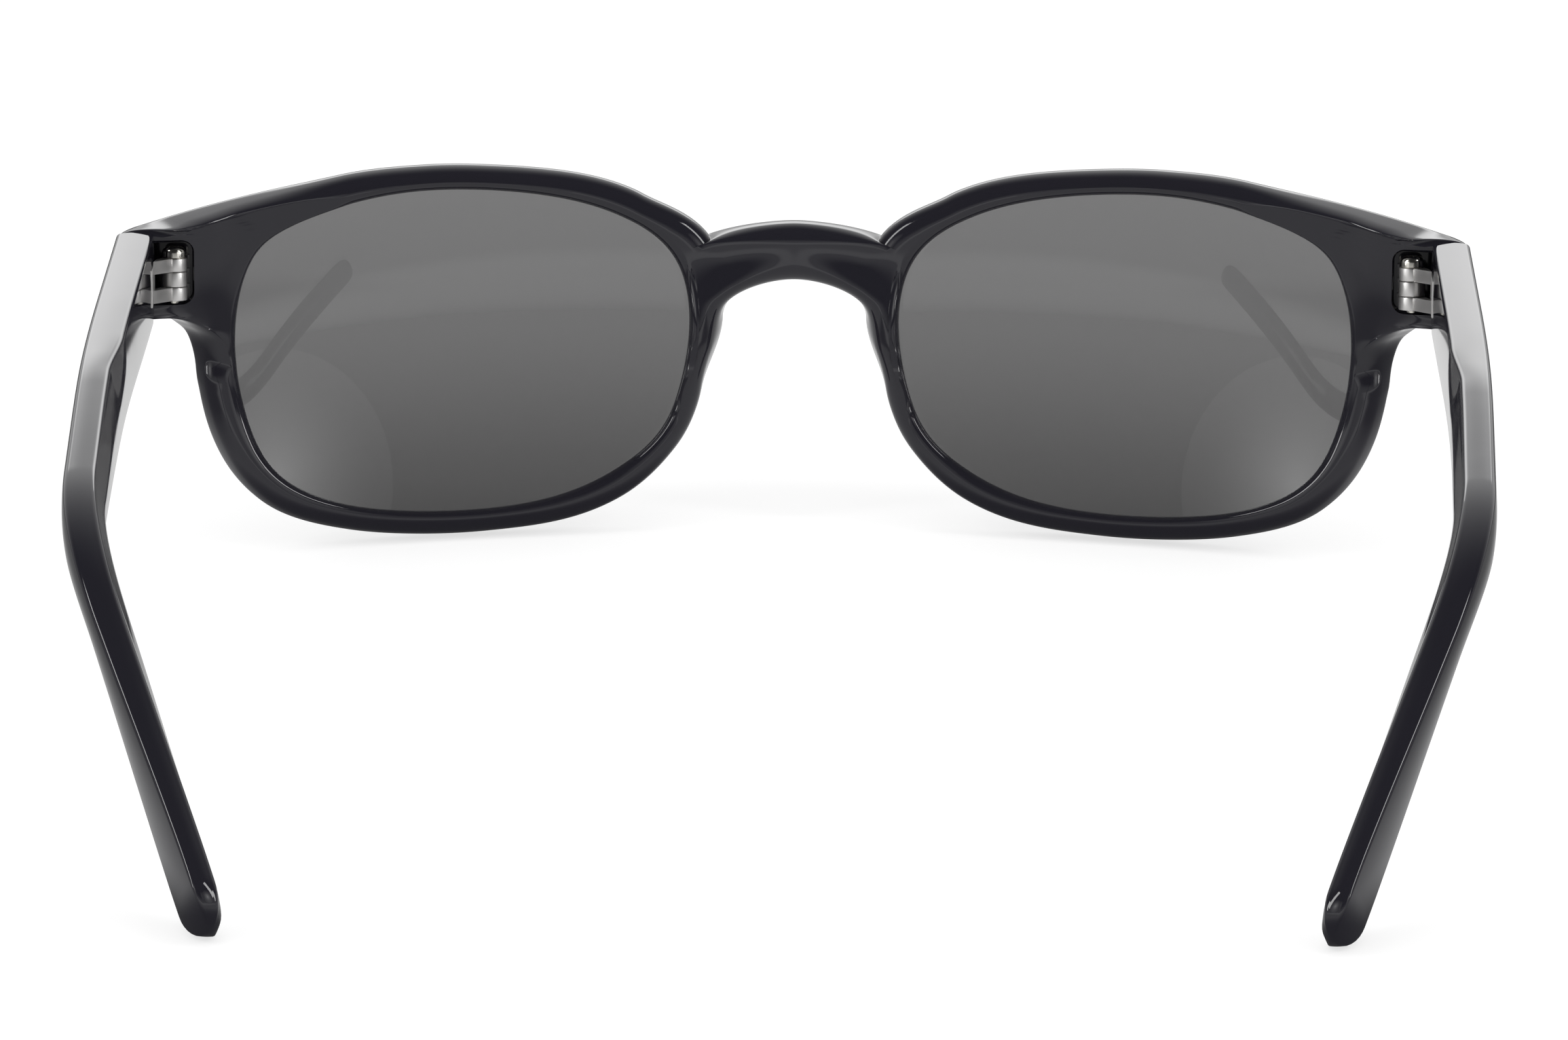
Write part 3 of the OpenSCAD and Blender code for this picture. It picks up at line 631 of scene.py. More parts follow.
def handling_group():
    """Fine smears and specks of handling: two noises of the object's place, one
    broad and one fine, put out as a mask and as a small height."""
    g = bpy.data.node_groups.new("handling", "ShaderNodeTree")
    face = g.interface
    face.new_socket("Vector", in_out="INPUT", socket_type="NodeSocketVector")
    face.new_socket("Smear Scale", in_out="INPUT", socket_type="NodeSocketFloat")
    face.new_socket("Grain Scale", in_out="INPUT", socket_type="NodeSocketFloat")
    face.new_socket("Mask", in_out="OUTPUT", socket_type="NodeSocketFloat")
    face.new_socket("Height", in_out="OUTPUT", socket_type="NodeSocketFloat")
    nodes, links = g.nodes, g.links
    came, goes = nodes.new("NodeGroupInput"), nodes.new("NodeGroupOutput")
    smear, grain = nodes.new("ShaderNodeTexNoise"), nodes.new("ShaderNodeTexNoise")
    smear.inputs["Detail"].default_value = 3
    grain.inputs["Detail"].default_value = 2
    links.new(came.outputs["Vector"], smear.inputs["Vector"])
    links.new(came.outputs["Vector"], grain.inputs["Vector"])
    links.new(came.outputs["Smear Scale"], smear.inputs["Scale"])
    links.new(came.outputs["Grain Scale"], grain.inputs["Scale"])
    ramp = nodes.new("ShaderNodeMapRange")
    ramp.inputs["From Min"].default_value = SMEAR_FROM
    ramp.inputs["From Max"].default_value = SMEAR_TO
    links.new(smear.outputs["Fac"], ramp.inputs["Value"])
    links.new(ramp.outputs["Result"], goes.inputs["Mask"])
    links.new(grain.outputs["Fac"], goes.inputs["Height"])
    return g


HANDLING = handling_group()


def handled(tree, smear, grain):
    """Places the handling group on Object coordinates."""
    place = tree.nodes.new("ShaderNodeTexCoord")
    group = tree.nodes.new("ShaderNodeGroup")
    group.node_tree = HANDLING
    group.inputs["Smear Scale"].default_value = smear
    group.inputs["Grain Scale"].default_value = grain
    tree.links.new(place.outputs["Object"], group.inputs["Vector"])
    return group


def ranged(tree, value, low, high):
    """A value from 0 to 1 mapped to low..high."""
    r = tree.nodes.new("ShaderNodeMapRange")
    r.inputs["To Min"].default_value = low
    r.inputs["To Max"].default_value = high
    tree.links.new(value, r.inputs["Value"])
    return r.outputs["Result"]


def bumped(tree, height, strength, distance, shader):
    """Feeds a height through a Bump node into the shader's normal."""
    b = tree.nodes.new("ShaderNodeBump")
    b.inputs["Strength"].default_value = strength
    b.inputs["Distance"].default_value = distance
    tree.links.new(height, b.inputs["Height"])
    tree.links.new(b.outputs["Normal"], shader.inputs["Normal"])


def gloss_black():
    """Polished black plastic with faint smears in its gloss."""
    m, tree, shader = material("gloss_black")
    shader.inputs["Base Color"].default_value = (*BLACK, 1)
    shader.inputs["IOR"].default_value = PLASTIC_IOR
    g = handled(tree, smear=60, grain=900)
    tree.links.new(ranged(tree, g.outputs["Mask"], *BLACK_ROUGH), shader.inputs["Roughness"])
    bumped(tree, g.outputs["Height"], strength=0.02, distance=0.00001, shader=shader)
    return m


def smoke_lens():
    """Neutral smoke tint, a little deeper towards the bottom."""
    m, tree, shader = material("smoke_lens")
    shader.inputs["Transmission Weight"].default_value = 1.0
    shader.inputs["IOR"].default_value = PLASTIC_IOR
    shader.inputs["Roughness"].default_value = 0.0
    place = tree.nodes.new("ShaderNodeTexCoord")
    split = tree.nodes.new("ShaderNodeSeparateXYZ")
    fall = tree.nodes.new("ShaderNodeMapRange")
    fall.inputs["From Min"].default_value = TINT_FROM
    fall.inputs["From Max"].default_value = TINT_TO
    ramp = tree.nodes.new("ShaderNodeValToRGB")
    tints = ramp.color_ramp.elements
    tints[0].color = (*TINT_LOW, 1)
    tints[1].color = (*TINT_HIGH, 1)
    tints.new(TINT_MIDDLE_AT).color = (*TINT_MIDDLE, 1)
    tree.links.new(place.outputs["Object"], split.inputs["Vector"])
    tree.links.new(split.outputs["Z"], fall.inputs["Value"])
    tree.links.new(fall.outputs["Result"], ramp.inputs["Fac"])
    tree.links.new(ramp.outputs["Color"], shader.inputs["Base Color"])
    return m


def steel(name, colour, rough):
    """Nickelled steel: metal with a fine tumbled grain in its gloss."""
    m, tree, shader = material(name)
    shader.inputs["Metallic"].default_value = 1.0
    shader.inputs["Base Color"].default_value = (*colour, 1)
    g = handled(tree, smear=400, grain=6000)
    tree.links.new(ranged(tree, g.outputs["Mask"], *rough), shader.inputs["Roughness"])
    bumped(tree, g.outputs["Height"], strength=0.15, distance=0.00002, shader=shader)
    return m


FRAME_BLACK = gloss_black()
LENS_SMOKE = smoke_lens()
HINGE_STEEL = steel("hinge_steel", STEEL, STEEL_ROUGH)
SCREW_STEEL = steel("screw_steel", NICKEL, NICKEL_ROUGH)


# Front

# Hinge pocket: its room beside the barrels towards the nose, below and above
# them and in front of them, its lap over the temple's inner side, its way out
# past the butt, the round of its corners and the bevel of its mouth
POCKET_SIDE, POCKET_UNDER, POCKET_OVER, POCKET_DEEP = 0.4, 0.2, 1.6, 0.7
POCKET_LAP, POCKET_OUT, POCKET_ROUND, POCKET_BEVEL = 0.6, 4, 1.0, 0.3
POCKET_FLOOR = AXIS_N - BARREL_D / 2 - POCKET_DEEP


def pocket_shape():
    """Recess of a hinge: a plate outline with two rounded corners on the nose
    side, carried from the pocket's floor straight out past the butt, and wider
    by the bevel at its mouth."""
    a = np.radians(np.linspace(0, 90, 9))

    def ring(n, wider, on_face=False):
        left, right = HINGE_U - BARREL_D / 2 - POCKET_SIDE - wider, END_U - TEMPLE_T + POCKET_LAP
        low = HINGE_LOW - POCKET_UNDER - wider
        high = HINGE_LOW + HINGE_H + POCKET_OVER + wider
        r = POCKET_ROUND + wider
        upper = np.stack([left + r - r * np.sin(a), high - r + r * np.cos(a)], 1)
        lower = np.stack([left + r - r * np.cos(a), low + r - r * np.sin(a)], 1)
        line = np.concatenate([[[right, low], [right, high]], upper, lower])
        face = under(line, depth_at(line[:, 0], line[:, 1]))[:, 2] if on_face else 0
        return np.column_stack([line, face + np.full(len(line), n)])

    return closed_tube(placed(np.stack([
        ring(POCKET_FLOOR, 0), ring(-POCKET_BEVEL, 0, True), ring(0, POCKET_BEVEL, True),
        ring(BUTT_N + POCKET_OUT, POCKET_BEVEL)])))


front_points, front_faces = front_mesh()
front = make("moulded_front", front_points, front_faces, FRAME_BLACK, "front",
             "frame_front")
pocket_points, pocket_faces = pocket_shape()
for side in (1, -1):
    carve(front, mirrored(pocket_points, side), pocket_faces)


# Lenses

LENS_PLAY, LENS_BEVEL = 0.01, 0.15
LENS_SHARES = np.concatenate([np.linspace(0.04, 0.96, 20), [0.99]])


def lens_mesh():
    """A lens: the outline drawn in towards its middle in rings, on the outer
    sphere for the front and on the inner one behind, with a small edge round."""
    line = lens_edge(STATIONS, GROOVE - LENS_FIT - LENS_PLAY)
    centre = line.mean(0)
    inside = centre + (line - centre) * LENS_SHARES[:, None, None]
    return closed_tube(placed(np.concatenate([
        on_lens(inside, LENS_INSET),
        on_lens(line, LENS_INSET + LENS_BEVEL)[None],
        on_lens(line, LENS_INSET + LENS_T - LENS_BEVEL)[None],
        on_lens(inside[::-1], LENS_INSET + LENS_T)])))


lens_points, lens_faces = lens_mesh()
for side, name in ((1, "right"), (-1, "left")):
    make("smoke_lens_" + name, mirrored(lens_points, side), lens_faces, LENS_SMOKE,
         "front", "lens_" + name)


# Temples

TEMPLE_U = END_U - TEMPLE_T / 2
TEMPLE_OVER = 0.25
TEMPLE_TOP = posed([0, -BUTT_N, END_HIGH + TEMPLE_OVER])[2] + ORIGIN[2]
BUTT_Y = posed([0, -BUTT_N, HINGE_W])[1] + ORIGIN[1]
TEMPLE_EDGE, TEMPLE_CROWN = 0.6, 0.15
# Where the line starts to turn inwards and over what length, and how far before
# the end of the level stretch the inner side starts to lean, over what length
INWARD_FROM, INWARD_LONG, LEAN_EARLY, LEAN_LONG = 20, 50, 7, 13
# Height of the bar as (length, height)
HEIGHT_AT = np.array([[0, BUTT_H], [LEVEL_L, BUTT_H - 0.7], [BEND_S, BEND_H],
                      [TEMPLE_L - 8, TIP_H], [TEMPLE_L, TIP_H - 0.4]])
TEMPLE_STEPS, FALL_BLEND = 280, 0.22
# Share of the length at which the tip's round starts, and the round's radius
TIP_AT, TIP_ROUND = 58 / 60, 3.48
TIP_TURN = np.radians([10, 20, 30, 40, 50, 60, 70, 78, 85])
# Bevel round the butt: how much of the butt ring its face keeps, the depth of
# the bevel, and the gap to the next ring
BUTT_FACE, BUTT_BEVEL, BUTT_CLEAR = [0.92, 1, 0.965], 0.15, 0.3


def bend_share(s):
    """How far the ear bend has turned at a length s."""
    return ease((s - BEND_S + BEND_L / 2) / BEND_L)


def drop_at(s):
    """Downward angle of the middle line, in radians."""
    return np.radians(HOOK_DROP * bend_share(s))


def in_at(s):
    """Inward angle of the middle line, in radians."""
    early = ease((s - INWARD_FROM) / INWARD_LONG)
    return np.radians(TEMPLE_IN * early + (HOOK_IN - TEMPLE_IN) * bend_share(s))


def fall_share(x):
    """Share of the fall to the ear bend: straight, with its first and last
    stretch b blended in as x^2 / (2 b)."""
    b = FALL_BLEND
    late = 1 - b - (1 - x)**2 / b / 2
    return np.where(x < b, x**2 / b / 2, np.where(x > 1 - b, late, x - b / 2)) / (1 - b)


def bar(thick, height, lean):
    """Section of a temple as (sideways, up): four rounded corners joined by
    crowned sides; the inner side leans out over its ridge by up to lean."""
    thick, h, lean = (np.asarray(x, float)[:, None] for x in (thick, height, lean))
    a, b, r = thick / 2, h / 2, TEMPLE_EDGE
    turn = np.radians(np.linspace(0, 90, 8))
    along = np.linspace(-1, 1, 11)[1:-1]
    on = (along + 1) / 2
    swell = TEMPLE_CROWN * (1 - along**2)
    one = np.ones_like(h)
    top_in = lean - a
    corner = lambda cx, cy, f: (cx + r * np.cos(f), cy + r * np.sin(f))
    inner = mix(top_in, -a * one, np.minimum(along + 1, 1)) - swell
    parts = [corner(one * (a - r), b - r, turn),
             (mix(a - r, top_in + r, on), b + swell * 0.5 * one),
             corner(top_in + r, b - r, turn + np.pi / 2),
             (inner, mix(b - r, r - b, on)),
             corner(one * (r - a), r - b, turn + np.pi),
             (mix(r - a, a - r, on) * one, -b - swell * 0.5 * one),
             corner(one * (a - r), r - b, turn + 1.5 * np.pi),
             ((a + swell) * one, mix(r - b, b - r, on))]
    return np.concatenate([np.stack(np.broadcast_arrays(x, y), -1) for x, y in parts], 1)


def temple_rings():
    """Rings of a temple and the length at which each lies: the bar carried
    along its middle line, whose places are the running sums of its direction,
    and rolled at the hook, with the tip rounded by rings drawn in along a
    quarter circle."""
    s = np.linspace(0, TEMPLE_L, TEMPLE_STEPS + 1)
    ds = TEMPLE_L / TEMPLE_STEPS
    run = lambda v: np.concatenate([[0], np.cumsum((v[1:] + v[:-1]) / 2 * ds)])
    turn, fall, k = in_at(s), drop_at(s), bend_share(s)
    h = eased_table(*HEIGHT_AT.T, s)
    route_in, route_down = run(np.sin(turn)), run(np.sin(fall))
    route_back = run(np.cos(turn) * np.cos(fall))
    z = (TEMPLE_TOP - BUTT_H / 2 - route_down + (BUTT_H - h) / 2 * (1 - k)
         + (BUTT_H - BEND_H) / 2 * k)
    hook = ease((s - BEND_S) / (TEMPLE_L - BEND_S))
    roll = np.radians(HOOK_ROLL * hook)[:, None]
    lean = FACET * ease((s - LEVEL_L + LEAN_EARLY) / LEAN_LONG)
    flat = bar(mix(TEMPLE_T, TIP_T, hook), h, lean)
    section = np.stack([flat[..., 0] * np.cos(roll) - flat[..., 1] * np.sin(roll),
                        flat[..., 0] * np.sin(roll) + flat[..., 1] * np.cos(roll)], -1)

    def ring(i, shrink=1.0, along=0.0):
        i = np.atleast_1d(i)
        side, up = section[i, :, 0] * shrink, section[i, :, 1] * shrink
        a, f = turn[i, None], fall[i, None]
        x = TEMPLE_U - route_in[i, None] + side * np.cos(a) - along * np.sin(a)
        y = (BUTT_Y - route_back[i, None] - side * np.sin(a) - up * np.sin(f)
             - along * np.cos(a) * np.cos(f))
        height = z[i, None] + up * np.cos(f) - along * np.sin(f)
        return np.stack([x, y, height], -1)

    end = round(TEMPLE_STEPS * TIP_AT)
    caps = [ring(end, np.cos(f), TIP_ROUND * np.sin(f)) for f in TIP_TURN]
    rings = np.concatenate([ring(np.arange(end + 1))] + caps)
    return rings, np.concatenate([s[:end + 1], np.full(len(caps), s[end])])


def on_butt(ring):
    """A ring moved along y onto the butt's plane, past the gap."""
    moved = ring.copy()
    moved[:, 1] = (ring[:, 2] * np.sin(TILT) - BUTT_N - BUTT_GAP) / np.cos(TILT)
    return moved


def temple_mesh():
    """A temple: its rings, lowered from the level stretch on until its tip
    stands as low as the front, and the butt face with its bevel."""
    rings, s = temple_rings()
    low = fall_share(np.clip((s - LEVEL_L) / (BEND_S - LEVEL_L), 0, 1))
    front_low = (front_points[:, 2] + ORIGIN[2]).min()
    rings[..., 2] -= (rings[..., 2].min() - front_low) * low[:, None]
    butt = on_butt(rings[0])
    middle = butt.mean(0)
    face = on_butt(middle + (butt - middle) * BUTT_FACE)
    lip = butt + [0, -BUTT_BEVEL, 0]
    keep = rings[:, :, 1].max(1) < butt[:, 1].min() - BUTT_CLEAR
    return closed_tube(np.concatenate([face[None], lip[None], rings[keep]]) - ORIGIN)


temple_points, temple_faces = temple_mesh()
for side, name in ((1, "right"), (-1, "left")):
    make("temple_arm_" + name, mirrored(temple_points, side), temple_faces, FRAME_BLACK,
         "temple_" + name, "temple_" + name)


# Hinges

BARREL_ROUND, BEVEL, HINGE_SIDES = 0.12, 0.1, 56
# Arms of a temple leaf: how far they stay inside the barrel's round, below its
# faces and off the temple, and where they meet it behind the butt
ARM_INSET, ARM_THIN, ARM_GAP, ARM_FRONT, ARM_BACK = 0.06, 0.02, 0.05, 0.6, 2
# Anchor inside the barrel and into the pocket's floor, and the plate's rise over
# the lowest barrel and its share that stands out of the temple
ANCHOR_INSET, ANCHOR_START, PLATE_UP, PLATE_SHOWN = 0.2, 0.1, 0.4, PLATE_PROUD / 3
# Screw: the bevel of its end, how far that end and the bevel's start lie below
# the barrels, the head's radius, height and bevel, the dome's height, narrowing
# and turn in degrees, and the slot's bottom, half width, reach and bevel
SCREW_BEVEL, SCREW_OUT, SCREW_TAPER = 0.2, 0.3, 0.1
HEAD_R, HEAD_H, HEAD_BEVEL = 1.25, 0.55, 0.08
DOME_H, DOME_IN, DOME_TURN = 0.65, 0.75, 80
DRIVE_LOW, DRIVE_HALF, DRIVE_REACH, DRIVE_BEVEL = 0.75, 0.2, 2, 0.01
TEMPLE_INNER = TEMPLE_U - TEMPLE_T / 2 - TEMPLE_CROWN


def turned(profile):
    """Surface of revolution: (radius, height) pairs carried round the hinge axis."""
    a = np.linspace(0, 2 * np.pi, HINGE_SIDES, endpoint=False)
    r, w = np.asarray(profile, float).T
    x = HINGE_U + r[:, None] * np.cos(a)
    y = -AXIS_N + r[:, None] * np.sin(a)
    return posed(np.stack([x, y, np.broadcast_to(w[:, None], x.shape)], -1))


def barrel(low, high):
    """A barrel: a turned profile with rounded rims, closed through its bore."""
    r, bore, c = BARREL_D / 2, SCREW_D / 2 + SCREW_FIT, BARREL_ROUND
    a = np.radians(np.linspace(0, 90, 5))
    lower = np.stack([r - c + c * np.sin(a), low + c - c * np.cos(a)], 1)
    upper = np.stack([lower[::-1, 0], low + high - lower[::-1, 1]], 1)
    rings = turned(np.concatenate([[[bore, low]], lower, upper, [[bore, high]]]))
    points = rings.reshape(-1, 3)
    return points, grid_faces(len(rings) + 1, rings.shape[1]) % len(points)


def slab(line, low, high, soft=BEVEL):
    """A flat plate: its outline, drawn in by a small bevel at both faces, from
    one height to the other."""
    line = np.asarray(line, float)
    middle = line.mean(0)
    reach = np.linalg.norm(line - middle, axis=1, keepdims=True)
    inner = middle + (line - middle) * (1 - soft / reach)
    rings = [np.column_stack([p, np.full(len(line), h)])
             for p, h in ((inner, low), (line, low + soft), (line, high - soft), (inner, high))]
    return np.stack(rings)


def boxed(low, high, soft=BEVEL):
    """A rectangular block with bevelled edges."""
    (x0, y0, z0), (x1, y1, z1) = low, high
    line = [[x0 + soft, y0], [x1 - soft, y0], [x1, y0 + soft], [x1, y1 - soft],
            [x1 - soft, y1], [x0 + soft, y1], [x0, y1 - soft], [x0, y0 + soft]]
    return slab(line, z0, z1, soft)


def front_leaf_mesh():
    """The middle barrel and the anchor that holds it in the front."""
    low = HINGE_LOW + BARREL_H + SLOT_FIT
    high = HINGE_LOW + BARREL_H + SLOT_H - SLOT_FIT
    half = BARREL_D / 2 - ANCHOR_INSET
    anchor = boxed((HINGE_U - half, -AXIS_N + SCREW_D / 2 + ANCHOR_INSET, low + ARM_THIN),
                   (HINGE_U + half, -POCKET_FLOOR + ANCHOR_START, high - ARM_THIN))
    return joined([barrel(low, high), closed_tube(posed(anchor))])


def temple_leaf_mesh():
    """The outer barrels, an arm from each, and the plate let into the temple."""
    arm = [[HINGE_U, -AXIS_N - BARREL_D / 2 + ARM_INSET],
           [HINGE_U + BARREL_D / 2 - ARM_INSET, -AXIS_N],
           [TEMPLE_INNER - ARM_GAP, -BUTT_N - PLATE_START + ARM_FRONT],
           [TEMPLE_INNER - ARM_GAP, -BUTT_N - PLATE_START - ARM_BACK]]
    lows = (HINGE_LOW, HINGE_LOW + BARREL_H + SLOT_H)
    hinge_z = posed([0, -BUTT_N, HINGE_W])[2] + ORIGIN[2]
    plate = boxed((TEMPLE_INNER - PLATE_SHOWN, BUTT_Y - PLATE_START - PLATE_L,
                   hinge_z - HINGE_H / 2 + PLATE_UP),
                  (TEMPLE_INNER + PLATE_T, BUTT_Y - PLATE_START, hinge_z + HINGE_H / 2))
    return joined([barrel(low, low + BARREL_H) for low in lows]
                  + [closed_tube(posed(slab(arm, low + ARM_THIN, low + BARREL_H - ARM_THIN)))
                     for low in lows]
                  + [closed_tube(plate - ORIGIN)])


def screw_mesh():
    """The screw: a turned profile with a domed head."""
    top, r = HINGE_LOW + HINGE_H, SCREW_D / 2
    a = np.radians(np.linspace(0, DOME_TURN, 8))
    dome_line = np.stack([HEAD_R * np.cos(a * DOME_IN), top + HEAD_H + DOME_H * np.sin(a)], 1)
    profile = [[r - SCREW_BEVEL, HINGE_LOW - SCREW_OUT], [r, HINGE_LOW - SCREW_TAPER], [r, top],
               [HEAD_R - HEAD_BEVEL, top], [HEAD_R, top + HEAD_BEVEL]]
    return closed_tube(turned(np.concatenate([profile, dome_line])))


def screw_slot():
    """The cutter for the slot in the screw's head."""
    top = HINGE_LOW + HINGE_H
    return closed_tube(posed(boxed(
        (HINGE_U - DRIVE_REACH, -AXIS_N - DRIVE_HALF, top + DRIVE_LOW),
        (HINGE_U + DRIVE_REACH, -AXIS_N + DRIVE_HALF, top + DRIVE_REACH), DRIVE_BEVEL)))


front_leaf, temple_leaf = front_leaf_mesh(), temple_leaf_mesh()
screw, slot = screw_mesh(), screw_slot()
for side, name in ((1, "right"), (-1, "left")):
    make("front_leaf_" + name, mirrored(front_leaf[0], side), front_leaf[1], HINGE_STEEL,
         "front", "hinge_front_leaf_" + name)
    make("temple_leaf_" + name, mirrored(temple_leaf[0], side), temple_leaf[1], HINGE_STEEL,
         "temple_" + name, "hinge_temple_leaf_" + name)
    pin = make("hinge_pin_" + name, mirrored(screw[0], side), screw[1], SCREW_STEEL,
               "temple_" + name, "hinge_screw_" + name)
    carve(pin, mirrored(slot[0], side), slot[1])


# Studio: a white floor and a white room that show whole to the camera and
# through the lenses, and in part in a reflection, and lamps

# Sides of the floor, and how much of its white is its own light and its colour
FLOOR_X, FLOOR_Y0, FLOOR_Y1 = 1.5, -0.9, 1.6
FLOOR_GLOW, FLOOR_COLOUR = 0.67, 0.36
# The floor's white in reflections, as spans of a place and of the share at its
# two ends: under the object and beyond it, in front of it, far in front of it,
# out to the sides, which counts only beside the temples and darkens them there as
# painted shade, and close to a mirror, which darkens it as painted contact shade
FLOOR_UNDER = (0.0, 0.15), (0.55, 0.75)
FLOOR_AHEAD = (-0.13, -0.05), (0.9, 0.0)
FLOOR_FAR = (-0.9, -0.2), (0.55, 1.0)
FLOOR_BESIDE_SHADE = (0.064, 0.105), (0.0, 0.75)
FLOOR_NEAR = (-0.2, -0.03), (0.0, 1.0)
FLOOR_CONTACT_SHADE = (0.004, 0.02), (0.15, 1.0)
# The room's white in reflections: along the way to the back, and up from the
# horizon; and its white as even light
ROOM_BACK = (0.0, 0.95), (0.02, 0.85)
ROOM_LOW = (0.0, 0.35), (0.5, 0.0)
ROOM_EVEN = 0.8
# An umbrella's glow at its rim and at its middle
UMBRELLA_RIM, UMBRELLA_MIDDLE = 0.25, 2.85
# Camera, fitted to the outlines in the photograph: its angles in degrees, its
# place in millimetres, and its lens and sensor
CAMERA_AZ, CAMERA_EL, CAMERA_ROLL = 0.82869737, 16.3, 0.23075152
CAMERA_PLACE = np.array([14.28577913, -1055.35144709, 309.88973861])
CAMERA_LENS, CAMERA_SENSOR, CAMERA_CLIP = 236.91, 36, (0.05, 20)


def span(tree, value, place, size):
    """Smooth rise from one size to another between two places."""
    r = tree.nodes.new("ShaderNodeMapRange")
    r.interpolation_type = "SMOOTHSTEP"
    r.inputs["From Min"].default_value, r.inputs["From Max"].default_value = place
    r.inputs["To Min"].default_value, r.inputs["To Max"].default_value = size
    tree.links.new(value, r.inputs["Value"])
    return r.outputs["Result"]


def give(tree, value, socket):
    """Sets a socket to a number, or links an output to it."""
    if isinstance(value, float):
        socket.default_value = value
    else:
        tree.links.new(value, socket)


def maths(tree, kind, a, b=None):
    """One Math node on one or two values."""
    m = tree.nodes.new("ShaderNodeMath")
    m.operation = kind
    give(tree, a, m.inputs[0])
    if b is not None:
        give(tree, b, m.inputs[1])
    return m.outputs["Value"]


def chosen(tree, ray, when, other):
    """Float mix by a kind of ray: the first value for it, else the second."""
    m = tree.nodes.new("ShaderNodeMix")
    m.data_type = "FLOAT"
    tree.links.new(ray, m.inputs[0])
    give(tree, other, m.inputs[2])
    give(tree, when, m.inputs[3])
    return m.outputs[0]


def floor():
    """A white table top that keeps the object's shadow: part of its white is
    its own, and the light adds the rest. A reflection shows less of it the
    nearer to the camera it lies, and the closer to the mirror; that darkening
    close to the mirror, and beside the temples, is painted shade."""
    mesh = bpy.data.meshes.new("floor")
    mesh.from_pydata([(-FLOOR_X, FLOOR_Y0, 0), (FLOOR_X, FLOOR_Y0, 0),
                      (FLOOR_X, FLOOR_Y1, 0), (-FLOOR_X, FLOOR_Y1, 0)], [], [(0, 1, 2, 3)])
    obj = added("floor", mesh)
    m, tree, shader = material("floor_white")
    shader.inputs["Roughness"].default_value = 0.9
    shader.inputs["Specular IOR Level"].default_value = 0.0
    shader.inputs["Emission Color"].default_value = (1, 1, 1, 1)
    place = tree.nodes.new("ShaderNodeTexCoord")
    split = tree.nodes.new("ShaderNodeSeparateXYZ")
    path = tree.nodes.new("ShaderNodeLightPath")
    tree.links.new(place.outputs["Object"], split.inputs["Vector"])
    x, y = split.outputs["X"], split.outputs["Y"]
    share = maths(tree, "MAXIMUM", span(tree, y, *FLOOR_UNDER), span(tree, y, *FLOOR_AHEAD))
    share = maths(tree, "MULTIPLY", share, span(tree, y, *FLOOR_FAR))
    # Painted contact shade: a reflection of the floor darkens where the mirror stands close to it
    share = maths(tree, "MULTIPLY", share, span(tree, path.outputs["Ray Length"], *FLOOR_CONTACT_SHADE))
    # Painted shade: reflections of the floor beside the temples, near the object, are darkened
    beside = span(tree, maths(tree, "ABSOLUTE", x), *FLOOR_BESIDE_SHADE)
    beside_shade = maths(tree, "MULTIPLY", beside, span(tree, y, *FLOOR_NEAR))
    share = maths(tree, "MULTIPLY", share, maths(tree, "SUBTRACT", 1.0, beside_shade))
    mirror = maths(tree, "SUBTRACT", path.outputs["Is Glossy Ray"],
                   path.outputs["Is Transmission Ray"])
    white = chosen(tree, mirror, share, 1.0)
    tree.links.new(ranged(tree, white, 0.0, FLOOR_GLOW), shader.inputs["Emission Strength"])
    tree.links.new(ranged(tree, white, 0.0, FLOOR_COLOUR), shader.inputs["Base Color"])
    mesh.materials.append(m)
    obj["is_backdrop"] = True


def room():
    """World: an even white light, and in reflections a room that is white
    beyond the object and dark over it and behind the camera."""
    world = bpy.data.worlds.new("room")
    bpy.context.scene.world = world
    world.use_nodes = True
    tree = world.node_tree
    back = tree.nodes["Background"]
    place = tree.nodes.new("ShaderNodeTexCoord")
    split = tree.nodes.new("ShaderNodeSeparateXYZ")
    path = tree.nodes.new("ShaderNodeLightPath")
    tree.links.new(place.outputs["Generated"], split.inputs["Vector"])
    mirrored_room = maths(tree, "MAXIMUM", span(tree, split.outputs["Y"], *ROOM_BACK),
                          span(tree, split.outputs["Z"], *ROOM_LOW))
    lit = chosen(tree, path.outputs["Is Diffuse Ray"], ROOM_EVEN, mirrored_room)
    seen = maths(tree, "MAXIMUM", path.outputs["Is Camera Ray"],
                 path.outputs["Is Transmission Ray"])
    tree.links.new(chosen(tree, seen, 1.0, lit), back.inputs["Strength"])
    back.inputs["Color"].default_value = (1, 1, 1, 1)


def lamp(name, shape, size, place, aim, glow):
    """A soft lamp at a place, aimed at a point. Its power is glow * pi * area,
    which makes its face as bright as glow, where 1 is white."""
    data = bpy.data.lights.new(name, "AREA")
    data.shape = shape
    data.size, data.size_y = size
    area = size[0] * size[1] * (np.pi / 4 if shape == "ELLIPSE" else 1)
    data.energy = glow * np.pi * area
    obj = added(name, data)
    obj.location = place
    obj.rotation_euler = (Vector(aim) - Vector(place)).to_track_quat("-Z", "Y").to_euler()
    obj.visible_camera = False
    return obj


def soft_edged(obj, edge):
    """Lets a lamp's light fall off over a share of its height at both edges."""
    obj.data.use_nodes = True
    tree = obj.data.node_tree
    place = tree.nodes.new("ShaderNodeNewGeometry")
    split = tree.nodes.new("ShaderNodeSeparateXYZ")
    tree.links.new(place.outputs["Parametric"], split.inputs["Vector"])
    up = split.outputs["Y"]
    lit = maths(tree, "MINIMUM", span(tree, up, (0, edge), (0, 1)),
                span(tree, up, (1 - edge, 1), (1, 0)))
    tree.links.new(lit, tree.nodes["Emission"].inputs["Strength"])


